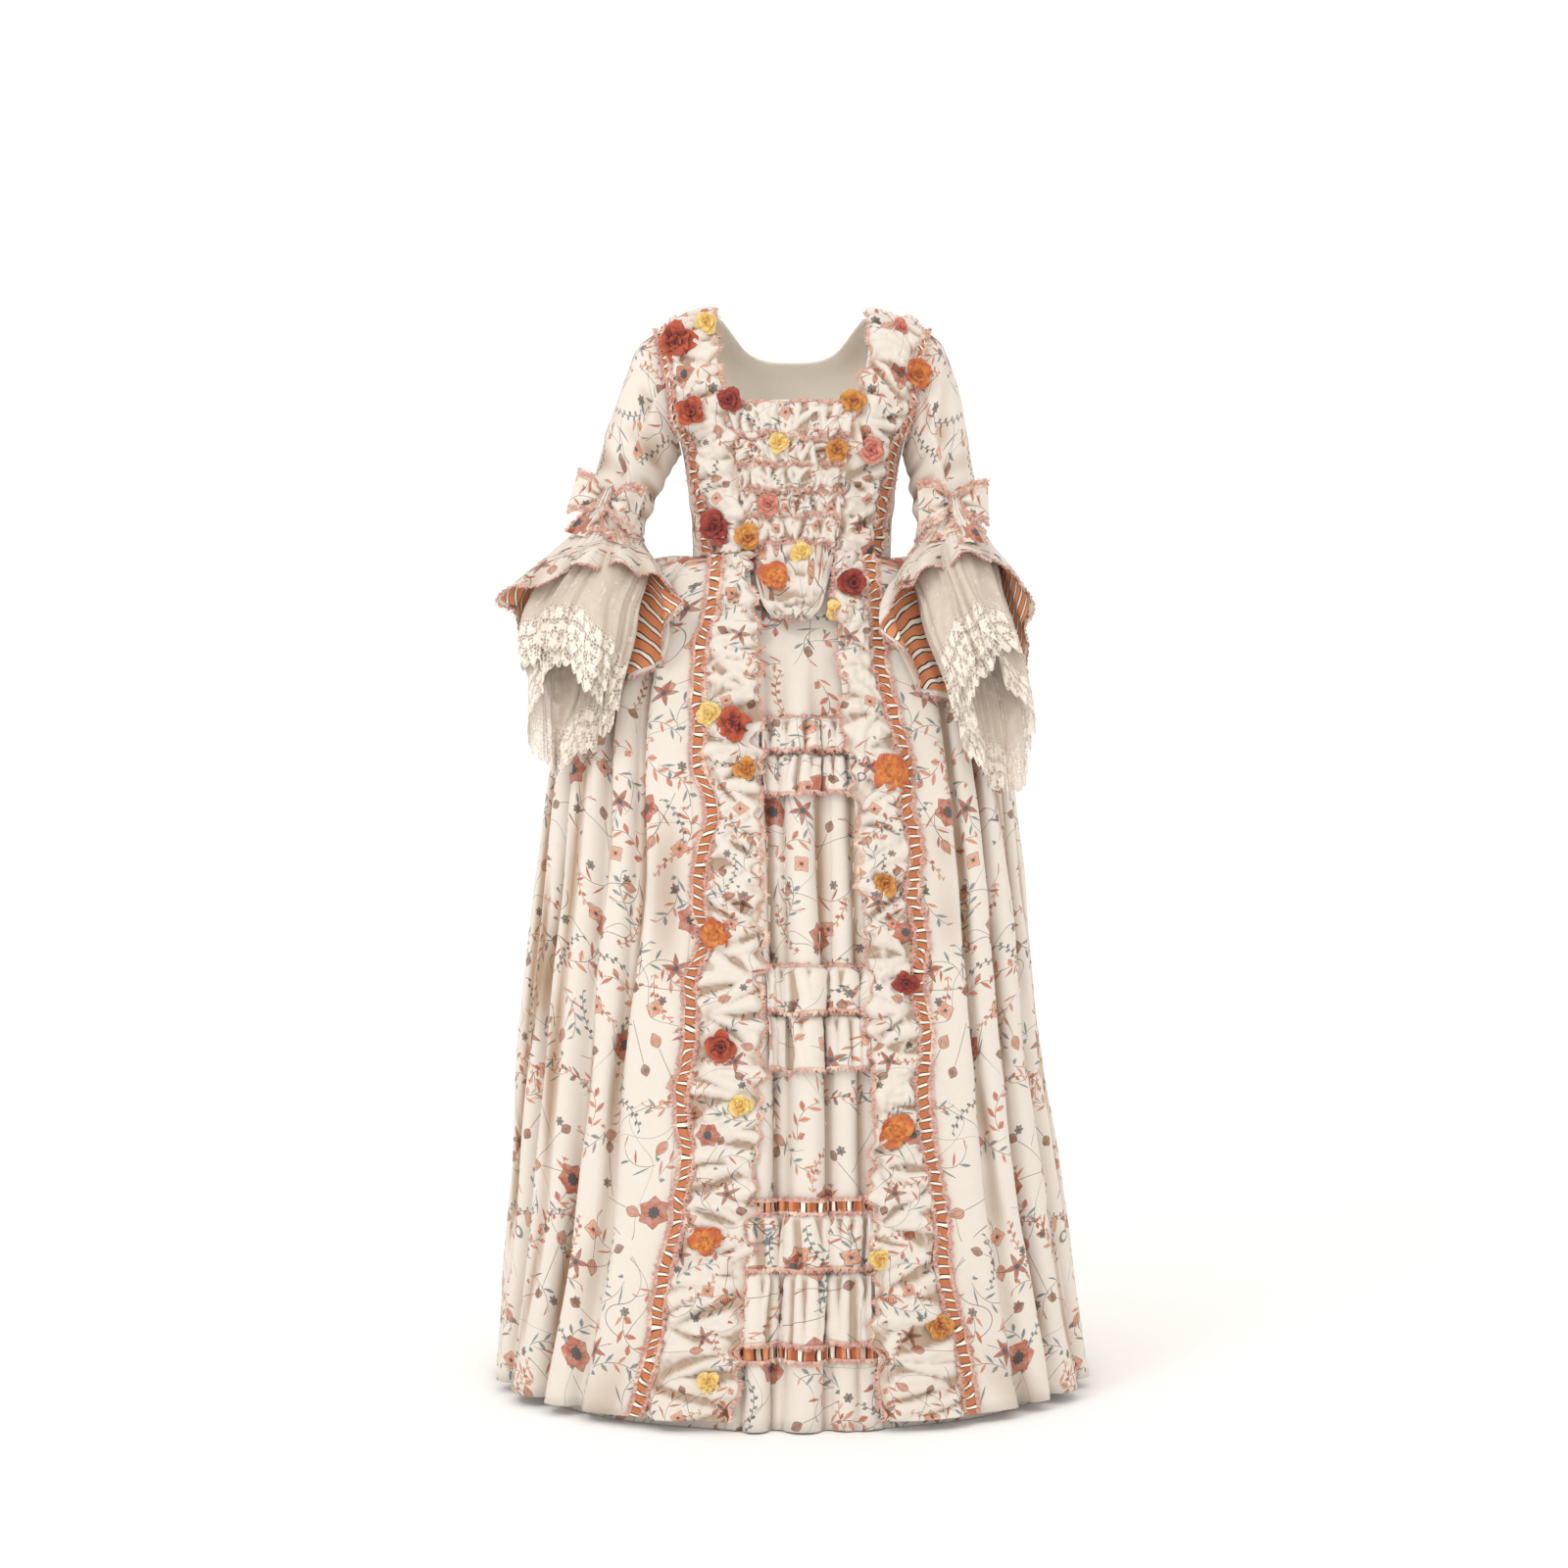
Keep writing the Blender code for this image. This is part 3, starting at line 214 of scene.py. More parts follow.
def shell(name, outer, finish, side, around, wall=None, inside=None, uv=None, shade=None, flip=False):
    # a closed wall under a grid of points; flip is for a grid whose columns run the other way
    rows, columns = outer.shape[:2]
    wall = wall or clothPlan["wall"]
    inner = outer - normalsOf(outer, around) * wall * (-1 if flip else 1)
    points = np.concatenate([outer.reshape(-1, 3), inner.reshape(-1, 3)])
    points = points * np.array([side, 1, 1]) - np.array([0, 0, shoulderHeight])
    faces, spots, isInner = wallFaces(rows, columns, around)
    if (side < 0) != flip:
        faces, spots = faces[:, ::-1], spots[:, ::-1]
    mesh = bpy.data.meshes.new(name)
    mesh.from_pydata(points.tolist(), [], faces.tolist())
    uv = clothUv(outer, around) if uv is None else uv
    layer = mesh.uv_layers.new(name="cloth")
    layer.data.foreach_set("uv", uv[spots[..., 0], spots[..., 1]].astype(np.float32).ravel())
    steps = columns if around else columns - 1
    bake = np.stack([spots[..., 1] / steps, spots[..., 0] / (rows - 1)], axis=-1).astype(float)
    bake[~isInner] *= clothPlan["bakeOuter"]
    bake[isInner] = bake[isInner] * clothPlan["bakeInner"] + (0, clothPlan["bakeInnerStart"])
    bake += clothPlan["bakeMargin"]
    mesh.uv_layers.new(name="OFBake").data.foreach_set("uv", bake.astype(np.float32).ravel())
    mesh.uv_layers["cloth"].active = True
    mesh.uv_layers["cloth"].active_render = True
    mesh.materials.append(finishes[finish])
    if inside is not None:
        mesh.materials.append(finishes[inside])
        mesh.polygons.foreach_set("material_index", isInner.astype(np.int32))
    # painted shade: a value at each point that darkens the cloth's colour in its folds and hollows
    paintedShade = np.zeros(len(points), np.float32)
    if shade is not None:
        paintedShade[:] = np.concatenate([shade.ravel(), shade.ravel()])
    mesh.attributes.new("paintedShade", "FLOAT", "POINT").data.foreach_set("value", paintedShade)
    mesh.shade_smooth()
    return addPiece(name + "_cloth", mesh)


def addPiece(name, mesh):
    piece = bpy.data.objects.new(name, mesh)
    bpy.context.scene.collection.objects.link(piece)
    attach(piece, "root")
    piecesMade[name] = piece
    return piece


def declareSheet(piece, grid, around):
    # the cut is the grid's own width and length, laid flat
    wide = closed(grid) if around else grid
    across = runLength(wide.transpose(1, 0, 2))[-1].max()
    down = runLength(grid)[-1].max()
    patches = np.cross(wide[1:, :-1] - wide[:-1, :-1], wide[:-1, 1:] - wide[:-1, :-1])
    area = float(min(np.linalg.norm(patches, axis=-1).sum(), across * down))
    area = max(area, clothPlan["leastArea"] * across * down)
    print(f"cut of {piece.name}: {across:.3f} x {down:.3f} m, {area:.3f} m2")


def makeCloth(name, grid, finish, held, restsOn, side=1, around=False, slot=None, **how):
    # one piece of cloth: its shell, the solid that it stands for and its cut; slot is not used
    piece = shell(name, grid, finish, side, around, **how)
    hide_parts(name)
    declareSheet(piece, grid, around)


# the body of the gown

body = {
    "height": [0.980, 1.020, 1.069, 1.124, 1.174, 1.222, 1.262, 1.300, 1.340, 1.366, 1.382, 1.395],
    "halfWidth": [0.150, 0.137, 0.130, 0.132, 0.138, 0.149, 0.163, 0.174, 0.181, 0.179, 0.145, 0.101],
    "front": [0.136, 0.124, 0.100, 0.100, 0.109, 0.119, 0.118, 0.104, 0.077, 0.050, 0.030, 0.004],
    "back": [0.120, 0.105, 0.095, 0.096, 0.100, 0.106, 0.110, 0.108, 0.090, 0.062, 0.037, 0.004],
    "roundness": 0.92,
}


def bodyAt(height):
    return tuple(smoothCurve(body["height"], body[name], height) for name in ("halfWidth", "front", "back"))


bodiceFront = {
    "innerX": [0.1000, 0.1010, 0.1000, 0.0965, 0.0838, 0.0742, 0.0672, 0.0622, 0.0545],
    "innerHeight": [1.3945, 1.3800, 1.3600, 1.3200, 1.2630, 1.2220, 1.1740, 1.1240, 1.0692],
    "outerX": [0.1785, 0.1780, 0.1740, 0.1640, 0.1530, 0.1430, 0.1380, 0.1320, 0.1300],
    "outerHeight": [1.3665, 1.3550, 1.3250, 1.2800, 1.2350, 1.2100, 1.1740, 1.1240, 1.0692],
    "ribbonEnd": [0.91, 0.91, 0.90, 0.88, 0.84, 0.74, 0.66, 0.60, 0.57],
    "armholeDegrees": [90, 58, 28, -6, -42, -90, None, None, None],
    "ribbonWidth": 0.017,
    "armholeGap": 0.0018,
    "soft": 0.0007,
}

sleeve = {
    "outerX": [0.1805, 0.2000, 0.2140, 0.2260, 0.2370, 0.2460, 0.2540, 0.2610],
    "outerHeight": [1.3675, 1.3500, 1.3170, 1.2750, 1.2280, 1.1820, 1.1400, 1.1040],
    "innerX": [0.1450, 0.1470, 0.1500, 0.1550, 0.1610, 0.1670, 0.1730, 0.1790],
    "innerHeight": [1.2090, 1.2050, 1.1980, 1.1850, 1.1680, 1.1440, 1.1180, 1.0920],
    "halfDepth": [0.058, 0.062, 0.062, 0.059, 0.055, 0.052, 0.050, 0.049],
    "forward": [0.000, 0.001, 0.004, 0.010, 0.020, 0.034, 0.050, 0.066],
    "lean": {"left": -0.016, "right": 0.016},
    "elbowCreases": 0.0022,
    "soft": 0.0011,
    # how deep a crease is where its painted shade is full
    "darkest": 0.003,
    "columns": 72,
    "finer": 8,
}


def armholePoint(degrees, ahead):
    angle = math.radians(degrees)
    outerX, innerX = sleeve["outerX"][0], sleeve["innerX"][0]
    high, low = sleeve["outerHeight"][0], sleeve["innerHeight"][0]
    x = (outerX + innerX) / 2 + (outerX - innerX) / 2 * math.sin(angle)
    z = (high + low) / 2 + (high - low) / 2 * math.sin(angle)
    return np.array([x - bodiceFront["armholeGap"], -ahead * sleeve["halfDepth"][0] * math.cos(angle), z])


def frontGrid():
    # columns 0 to 3 lie under the ruched strip, 3 to 4 under the ribbon and the rest is plain
    rows = []
    for i, degrees in enumerate(bodiceFront["armholeDegrees"]):
        innerX, outerX = bodiceFront["innerX"][i], bodiceFront["outerX"][i]
        innerHeight, outerHeight = bodiceFront["innerHeight"][i], bodiceFront["outerHeight"][i]
        start = angleOf(innerX, bodyAt(innerHeight)[0], body["roundness"])
        end = angleOf(outerX, bodyAt(outerHeight)[0], body["roundness"])
        if degrees is None:
            end = math.radians(90)
        ribbon = bodiceFront["ribbonEnd"][i]
        strip = ribbon - bodiceFront["ribbonWidth"] / (outerX - innerX + 0.02)
        across = np.array([0, strip / 3, strip * 2 / 3, strip, ribbon, (1 + ribbon) / 2, 1])
        height = innerHeight + (outerHeight - innerHeight) * across
        half, front, back = bodyAt(height)
        x, y = oval(start + (end - start) * across, half, front, back, body["roundness"])
        line = stack(x, y, height)
        if degrees is not None:
            line = line + (armholePoint(degrees, 1) - line[-1]) * (across**2)[:, None]
        rows.append(line)
    return np.array(rows)


bodiceBack = {
    "neckHeight": 1.345,
    "strapHeight": 1.3925,
    "rows": [1.0, 0.8, 0.55, 0.27, 0.0, -0.30, -0.65, -1.028],
    "across": [-1, -0.78, -0.56, -0.356, -0.18, 0, 0.18, 0.356, 0.56, 0.78, 1],
    "shoulderGap": 0.003,
}


def backGrid():
    rows = []
    strap, tip = bodiceFront["innerX"][0], sleeve["outerX"][0]
    across = np.array(bodiceBack["across"])
    spread = np.sin(np.abs(across) * math.pi / 2) ** body["roundness"]
    topX = tip * spread
    neckHeight, strapHeight = bodiceBack["neckHeight"], bodiceBack["strapHeight"]
    neck = neckHeight + (strapHeight - neckHeight) * np.minimum(topX / strap, 1) ** 3
    top = neck + (sleeve["outerHeight"][0] - strapHeight) * np.clip((topX - strap) / (tip - strap), 0, 1)
    underarm = sleeve["innerHeight"][0]
    for share in bodiceBack["rows"]:
        level = underarm + (neckHeight - underarm) * share
        height = level + (top - neckHeight) * max(share, 0) ** 1.3
        width, seam = bodyAt(level)[0], None
        if share >= 0:
            seam = armholePoint(-90 + 180 * share, -1)
            width = seam[0]
            height = height + (seam[2] - height[-1]) * np.abs(across) ** 4
        half, front, back = bodyAt(height)
        x = np.minimum(width * spread, half)
        x, y = oval(math.pi - angleOf(x, half, body["roundness"]), half, front, back, body["roundness"])
        if seam is not None:
            y = y + (seam[1] - y[-1]) * np.abs(across) ** 4
        y = y + bodiceBack["shoulderGap"] * max(share, 0) + bodiceFront["armholeGap"] * across**4
        rows.append(stack(-np.sign(across) * x, y, height))
    return np.array(rows)


stomacher = {
    "height": [1.263, 1.222, 1.174, 1.124, 1.069, 1.030, 1.005, 0.990, 0.984],
    "halfWidth": [0.0827, 0.0731, 0.0661, 0.0611, 0.0534, 0.044, 0.037, 0.026, 0.012],
    "bands": [1.259, 1.217, 1.182, 1.150, 1.118, 1.084, 0.986],
    "lift": 0.0012,
    "bandLines": 22,
    "bandColumns": 96,
    "bandLength": 0.15,
    "tongueWidth": 0.085,
    "swag": 0.0045,
    "ruche": {"pitch": 0.040, "fans": 3, "spread": 0.011, "tubeWidth": (0.0026, 0.0062),
              "tubeHeight": (0.0025, 0.0105)},
    "lastRuche": {"pitch": 0.052, "fans": 4},
}


def stomacherGrid():
    rows = []
    for height, halfWidth in zip(stomacher["height"], stomacher["halfWidth"]):
        half, front, back = bodyAt(height)
        x = halfWidth * np.linspace(-1, 1, 7)
        x, y = oval(angleOf(x, half, body["roundness"]) * np.sign(x), half, front, back, body["roundness"])
        rows.append(stack(x, y, height))
    return np.array(rows)


# the skirt, the sack and the petticoat

skirt = {
    "height": [1.0685, 1.0710, 1.0630, 1.0440, 1.005, 0.940, 0.840, 0.660, 0.440, 0.220, 0.012],
    "left": [0.130, 0.160, 0.192, 0.219, 0.238, 0.255, 0.272, 0.289, 0.312, 0.343, 0.372],
    "right": [0.130, 0.163, 0.199, 0.230, 0.256, 0.277, 0.298, 0.320, 0.341, 0.354, 0.372],
    "front": [0.1000, 0.105, 0.111, 0.117, 0.127, 0.144, 0.168, 0.201, 0.240, 0.274, 0.300],
    "back": [0.095, 0.112, 0.130, 0.148, 0.170, 0.200, 0.237, 0.293, 0.350, 0.399, 0.440],
    "sag": [0.0, 0.0120, 0.0170, 0.0160, 0.0100, 0.0030, 0.0, 0.0, 0.0, 0.0, 0.0],
    "roundness": 0.90,
    "foldWidths": [1.0, 0.75, 1.2, 0.8, 1.1, 0.7, 1.15, 0.9, 1.05],
    "foldDepth": (0.004, 0.019),
    "sackEdgeDegrees": 150,
    # each crease: how far round, from and to which height, its depth and its width, in metres
    "creases": [
        (0.10, 1.06, 0.30, 0.0035, 0.010), (0.17, 1.05, 0.05, 0.0050, 0.014), (0.235, 0.95, 0.00, 0.0040, 0.011),
        (0.31, 1.05, 0.42, 0.0045, 0.010), (0.355, 0.70, 0.00, 0.0060, 0.016), (0.43, 1.04, 0.20, 0.0055, 0.013),
        (0.50, 0.82, 0.00, 0.0045, 0.012), (0.575, 1.05, 0.35, 0.0050, 0.010), (0.62, 0.60, 0.00, 0.0060, 0.017),
        (0.70, 1.05, 0.12, 0.0050, 0.012), (0.78, 0.92, 0.00, 0.0045, 0.015), (0.86, 1.05, 0.25, 0.0050, 0.011),
        (0.93, 0.75, 0.00, 0.0050, 0.014),
    ],
}

opening = {
    "height": [0.012, 0.061, 0.149, 0.243, 0.330, 0.430, 0.555, 0.660, 0.760, 0.840, 0.960, 1.030, 1.0685],
    "leftEdge": [0.106, 0.105, 0.096, 0.0985, 0.098, 0.0975, 0.096, 0.086, 0.0735, 0.068, 0.058, 0.0575, 0.0545],
    "leftRibbon": [0.224, 0.219, 0.205, 0.183, 0.176, 0.170, 0.168, 0.160, 0.146, 0.141, 0.120, 0.108, 0.1045],
    "rightEdge": [0.072, 0.069, 0.060, 0.0505, 0.044, 0.038, 0.0385, 0.040, 0.041, 0.042, 0.043, 0.0505, 0.0545],
    "rightRibbon": [0.197, 0.190, 0.174, 0.147, 0.138, 0.137, 0.122, 0.121, 0.124, 0.127, 0.119, 0.110, 0.1045],
}


def openingAt(word, height):
    return tuple(smoothCurve(opening["height"], opening[word + part], height) for part in ("Edge", "Ribbon"))


def foldColumns():
    # each fold is a narrow valley and a broad ridge
    widths = skirt["foldWidths"]
    starts = np.concatenate([[0], np.cumsum(widths)])
    places, heights = [0.0], [0.2]
    for i, width in enumerate(widths):
        for share, height in ((0.24, 0.55), (0.70, 0.75), (1.0, -1.0)):
            places.append((starts[i] + width * share) / starts[-1])
            heights.append(height * (0.65 + 0.35 * width))
    heights[-1] = 0.0
    places, heights = np.array(places), np.array(heights)
    return places, heights * np.clip(0.45 + 1.6 * places, 0, 1)


def skirtGrid(word):
    places, heights = foldColumns()
    backEdge = math.radians(skirt["sackEdgeDegrees"])
    rows = []
    for i, height in enumerate(skirt["height"]):
        half = skirt[word][i]
        edge, ribbon = openingAt(word, min(height, opening["height"][-1]))
        flat = np.append(np.linspace(edge, ribbon - bodiceFront["ribbonWidth"], 4), ribbon)
        start = angleOf(ribbon + 0.004, half, skirt["roundness"])
        folds = start + (backEdge - start) * places
        angles = np.concatenate([angleOf(flat, half, skirt["roundness"]), folds])
        x, y = oval(angles, half, skirt["front"][i], skirt["back"][i], skirt["roundness"])
        rows.append(stack(x, y, height - skirt["sag"][i] * np.cos(angles) ** 2))
    grid = np.array(rows)
    top, hem = skirt["foldDepth"]
    depth = top + (hem - top) * np.linspace(0, 1, len(rows)) ** 0.8
    depth[0] = 0
    out = normalsOf(grid)
    out[..., 2] *= 0.3
    return grid + out * (depth[:, None] * np.concatenate([np.zeros(5), heights])[None, :])[..., None]


sack = {
    "height": [1.345, 1.322, 1.295, 1.240, 1.150, 1.050],
    "edgeX": [0.086, 0.096, 0.105, 0.117, 0.130, 0.138],
    "edgeY": [0.0885, 0.1010, 0.1090, 0.1180, 0.1320, 0.1570],
    "centreY": [0.0950, 0.1130, 0.1260, 0.139, 0.160, 0.182],
    "fromRow": 4,
    # the pleats from the centre out: where each step lies and how many layers are on it
    "pleats": [(0.0, 0), (0.07, 0), (0.10, 2), (0.42, 2), (0.45, 1), (0.68, 1), (0.71, 0), (1.0, 0)],
    "rise": (0.006, 0.018),
    "soft": 0.0042,
    "softFrom": (1.36, 1.0),
    # how deep a fold is where its painted shade is full
    "darkest": 0.016,
}


def sackGrid(skirts, columns=8):
    # two stacked box pleats each side of the centre, free from the back neck to the hem
    share, step = np.array(sack["pleats"], float).T
    finer = np.concatenate([np.linspace(a, b, columns + 1)[:-1] for a, b in zip(share, share[1:])] + [[1.0]])
    share, step = finer, np.interp(finer, share, step)
    step = step - 0.25 * np.abs(np.sin(math.pi * step))
    share, step = np.concatenate([-share[:0:-1], share]), np.concatenate([step[:0:-1], step])
    names = ("height", "edgeX", "edgeX", "edgeY", "centreY")
    sections = list(zip(*(sack[name] for name in names)))
    for i in range(sack["fromRow"], len(skirt["height"])):
        left, right = skirts["left"][i, -1], skirts["right"][i, -1]
        sections.append((left[2], left[0], right[0], left[1] + 0.001, skirt["back"][i] + 0.012))
    rows = []
    low, high = sack["rise"]
    for height, leftX, rightX, edgeY, centreY in sections:
        rise = low + (high - low) * (1 - height / shoulderHeight)
        x = -np.where(share > 0, rightX, leftX) * share * 0.995
        rows.append(stack(x, edgeY + (centreY - edgeY) * (1 - share**2) + rise * step, height))
    return np.array(rows)


petticoat = {
    "height": [1.078, 1.058, 1.036, 1.000, 0.940, 0.840, 0.660, 0.440, 0.220, 0.000],
    "left": [0.1258, 0.1258, 0.157, 0.194, 0.217, 0.235, 0.250, 0.274, 0.306, 0.338],
    "right": [0.1258, 0.1258, 0.160, 0.205, 0.236, 0.259, 0.281, 0.302, 0.318, 0.340],
    "front": [0.0962, 0.0962, 0.103, 0.111, 0.130, 0.153, 0.186, 0.224, 0.257, 0.285],
    "back": [0.0905, 0.0905, 0.104, 0.124, 0.156, 0.194, 0.250, 0.307, 0.356, 0.396],
    "sag": [0.0, 0.0, 0.0060, 0.0080, 0.0030, 0.0, 0.0, 0.0, 0.0, 0.0],
    "shown": (-0.095, 0.125),
    "folds": [0, -1, 0.4, 1, -0.2, -1, 0.2, 1, 0.5, -1, 0.3, 1, -0.6, -0.2, 0],
    "foldDepth": 0.005,
    # the folds that show: the middle, half width and height of each, in metres
    "ridges": [(-0.080, 0.018, 0.014), (-0.044, 0.014, 0.018), (-0.016, 0.010, 0.009), (0.012, 0.020, 0.019),
               (0.056, 0.018, 0.014), (0.094, 0.015, 0.018)],
    "ridgeRoundness": 0.7,
    "valley": 0.004,
    "sway": (0.006, 5),
    "hang": (1.0, 0.7),
    "edgeColumns": 6,
    "soft": 0.0010,
    # the painted shade in the folds begins below this height of fold and is full this much lower
    "darkBelow": 0.006,
    "darkOver": 0.010,
}


def petticoatGrid():
    # its columns 0 to 14 show between the gown's fronts
    shown = np.linspace(*petticoat["shown"], 15)
    hidden = np.linspace(0, 1, 16)[1:-1]
    rows = []
    for i, height in enumerate(petticoat["height"]):
        left, right = petticoat["left"][i], petticoat["right"][i]
        near = angleOf(shown, np.where(shown > 0, left, right), skirt["roundness"]) * np.sign(shown)
        angles = np.concatenate([near, near[-1] + (2 * math.pi - near[-1] + near[0]) * hidden])
        half = np.where(np.sin(angles) > 0, left, right)
        depth = petticoat["foldDepth"] * min(1, max(0, (1.0 - height) / 0.25))
        x, y = oval(angles, half, petticoat["front"][i], petticoat["back"][i], skirt["roundness"])
        y[:15] -= np.array(petticoat["folds"]) * depth
        rows.append(stack(x, y, height - petticoat["sag"][i] * np.cos(angles) ** 2))
    return np.array(rows)


def sleeveRings(word, angles):
    rings = []
    for i in range(len(sleeve["outerX"])):
        outerX, innerX = sleeve["outerX"][i], sleeve["innerX"][i]
        high, low = sleeve["outerHeight"][i], sleeve["innerHeight"][i]
        lean = sleeve["lean"][word] * (i / (len(sleeve["outerX"]) - 1)) ** 1.5
        x = (outerX + innerX) / 2 + (outerX - innerX) / 2 * np.sin(angles) + lean
        z = (high + low) / 2 + (high - low) / 2 * np.sin(angles)
        rings.append(stack(x, -sleeve["forward"][i] - sleeve["halfDepth"][i] * np.cos(angles), z))
    return np.array(rings)


frills = {
    "degrees": [0, 45, 90, 135, 180, 225, 270, 315, 360],
    "right": {
        "cuff": [0.042, 0.076, 0.108, 0.190, 0.205, 0.168, 0.074, 0.048, 0.042],
        "upper": [0.150, 0.175, 0.200, 0.225, 0.235, 0.235, 0.225, 0.185, 0.150],
        "lower": [0.168, 0.215, 0.300, 0.315, 0.290, 0.260, 0.245, 0.205, 0.168],
    },
    "left": {
        "cuff": [0.034, 0.050, 0.160, 0.225, 0.215, 0.195, 0.094, 0.056, 0.034],
        "upper": [0.148, 0.170, 0.215, 0.245, 0.240, 0.245, 0.220, 0.175, 0.148],
        "lower": [0.165, 0.240, 0.320, 0.345, 0.320, 0.270, 0.240, 0.195, 0.165],
    },
    "waves": 5,
    "phase": {"left": 0.4, "right": 1.2},
    "clearance": 0.012,
    "seam": 0.0018,
}

spreads = {
    "fall": [0.00, 0.05, 0.10, 0.20, 0.35],
    "right": {
        "middleX": [0.236, 0.243, 0.250, 0.258, 0.262],
        "middleY": [-0.066, -0.098, -0.126, -0.144, -0.160],
        "reachX": [0.041, 0.080, 0.116, 0.100, 0.086],
        "reachY": [0.049, 0.055, 0.060, 0.060, 0.056],
        "turn": [0, 12, 22, 28, 32],
        "wave": [0.00, 0.05, 0.06, 0.06, 0.06],
    },
    "left": {
        "middleX": [0.204, 0.200, 0.200, 0.232, 0.250],
        "middleY": [-0.066, -0.104, -0.140, -0.158, -0.176],
        "reachX": [0.041, 0.070, 0.088, 0.084, 0.074],
        "reachY": [0.049, 0.056, 0.058, 0.058, 0.054],
        "turn": [0, 14, 24, 30, 34],
        "wave": [0.00, 0.04, 0.05, 0.06, 0.06],
    },
}


def pushOffSkirt(place, word):
    # moves points that would be inside the skirt out past its folds
    x, y, z = place[..., 0], place[..., 1], place[..., 2]
    heights = np.array(skirt["height"][1:])
    top, hem = skirt["foldDepth"]
    clear = frills["clearance"] + np.clip(top + (hem - top) * (1.07 - z) / 1.07, 0, 1)
    half, front, back = (np.interp(-z, -heights, skirt[name][1:]) + clear for name in (word, "front", "back"))
    power = 2 / skirt["roundness"]
    reach = ((np.abs(x) / half) ** power + (np.abs(y) / np.where(y < 0, front, back)) ** power) ** (1 / power)
    fade = np.clip((heights[0] + frills["clearance"] - z) / 0.02, 0, 1)
    scale = 1 + (np.where(reach < 1, 1 / np.maximum(reach, 0.2), 1) - 1) * fade
    return np.stack([x * scale, y * scale, z], axis=-1)


def frillFalls(word, degrees):
    names = ("cuff", "upper", "lower")
    return {name: smoothCurve(frills["degrees"], frills[word][name], degrees) for name in names}


def frillLine(word, angles, fall, tuck=1.0, ahead=1.0):
    # one line round the frills at its fall below the sleeve, drawn in sideways by tuck and to the front by ahead
    waves = np.cos(frills["waves"] * angles + frills["phase"][word])
    waves = waves + 0.5 * np.cos(3 * angles + 2.1 * frills["phase"][word])
    spot = {name: smoothCurve(spreads["fall"], values, fall) for name, values in spreads[word].items()}
    along = spot["reachX"] * tuck * np.sin(angles) * (1 + spot["wave"] * waves)
    out = spot["reachY"] * np.where(np.cos(angles) > 0, ahead, tuck) * np.cos(angles) * (1 + spot["wave"] * waves)
    turn = np.radians(spot["turn"])
    start = sleeveRings(word, angles)[-1]
    x = spot["middleX"] + along * np.cos(turn) + out * np.sin(turn)
    y = spot["middleY"] + along * np.sin(turn) - out * np.cos(turn)
    return stack(x, y, start[:, 2] - frills["seam"] - fall)


# shader helpers


class Wire:
    # a value in a node tree, so that sums of values are written as plain arithmetic
    def __init__(self, tree, socket):
        self.tree, self.socket = tree, socket

    def do(self, operation, *others):
        return calc(self.tree, operation, self, *others)

    def __add__(self, other):
        return self.do("ADD", other)

    def __sub__(self, other):
        return self.do("SUBTRACT", other)

    def __mul__(self, other):
        return self.do("MULTIPLY", other)

    def __truediv__(self, other):
        return self.do("DIVIDE", other)

    def __gt__(self, other):
        return self.do("GREATER_THAN", other)

    def __lt__(self, other):
        return self.do("LESS_THAN", other)

    def __rsub__(self, other):
        return calc(self.tree, "SUBTRACT", other, self)

    def __rtruediv__(self, other):
        return calc(self.tree, "DIVIDE", other, self)

    def __abs__(self):
        return self.do("ABSOLUTE")


def srgb(red, green, blue):
    channels = [value / 255 for value in (red, green, blue)]
    linear = [c / 12.92 if c <= 0.04045 else ((c + 0.055) / 1.055) ** 2.4 for c in channels]
    return (*linear, 1.0)


def feed(tree, socket, value):
    if isinstance(value, Wire):
        tree.links.new(value.socket, socket)
    else:
        socket.default_value = value


def calc(tree, operation, *values):
    node = tree.nodes.new("ShaderNodeMath")
    node.operation = operation
    for socket, value in zip(node.inputs, values):
        feed(tree, socket, value)
    return Wire(tree, node.outputs[0])


def soften(value, width):
    # 0 to 1 as the value goes from 0 to the width
    share = value / width
    share.socket.node.use_clamp = True
    return share


def mixValue(share, low, high):
    return share * (high - low) + low


def mixColour(share, first, second, tree=None, blend="MIX"):
    tree = share.tree if tree is None else tree
    node = tree.nodes.new("ShaderNodeMix")
    node.data_type = "RGBA"
    node.blend_type = blend
    for socket, value in ((node.inputs["Factor"], share), (node.inputs[6], first), (node.inputs[7], second)):
        feed(tree, socket, value)
    return Wire(tree, node.outputs[2])


def splitVector(vector):
    node = vector.tree.nodes.new("ShaderNodeSeparateXYZ")
    feed(vector.tree, node.inputs[0], vector)
    return [Wire(vector.tree, socket) for socket in node.outputs]


def joinVector(x, y, z):
    node = x.tree.nodes.new("ShaderNodeCombineXYZ")
    for socket, value in zip(node.inputs, (x, y, z)):
        feed(x.tree, socket, value)
    return Wire(x.tree, node.outputs[0])


def noise(vector, scale, detail=2.0):
    node = vector.tree.nodes.new("ShaderNodeTexNoise")
    node.inputs["Scale"].default_value = scale
    node.inputs["Detail"].default_value = detail
    feed(vector.tree, node.inputs["Vector"], vector)
    return Wire(vector.tree, node.outputs["Fac"])


def chance(vector):
    # a random value and three more, the same ones at the same place
    node = vector.tree.nodes.new("ShaderNodeTexWhiteNoise")
    feed(vector.tree, node.inputs["Vector"], vector)
    split = vector.tree.nodes.new("ShaderNodeSeparateColor")
    vector.tree.links.new(node.outputs["Color"], split.inputs[0])
    return [Wire(vector.tree, socket) for socket in (node.outputs["Value"], *split.outputs)]


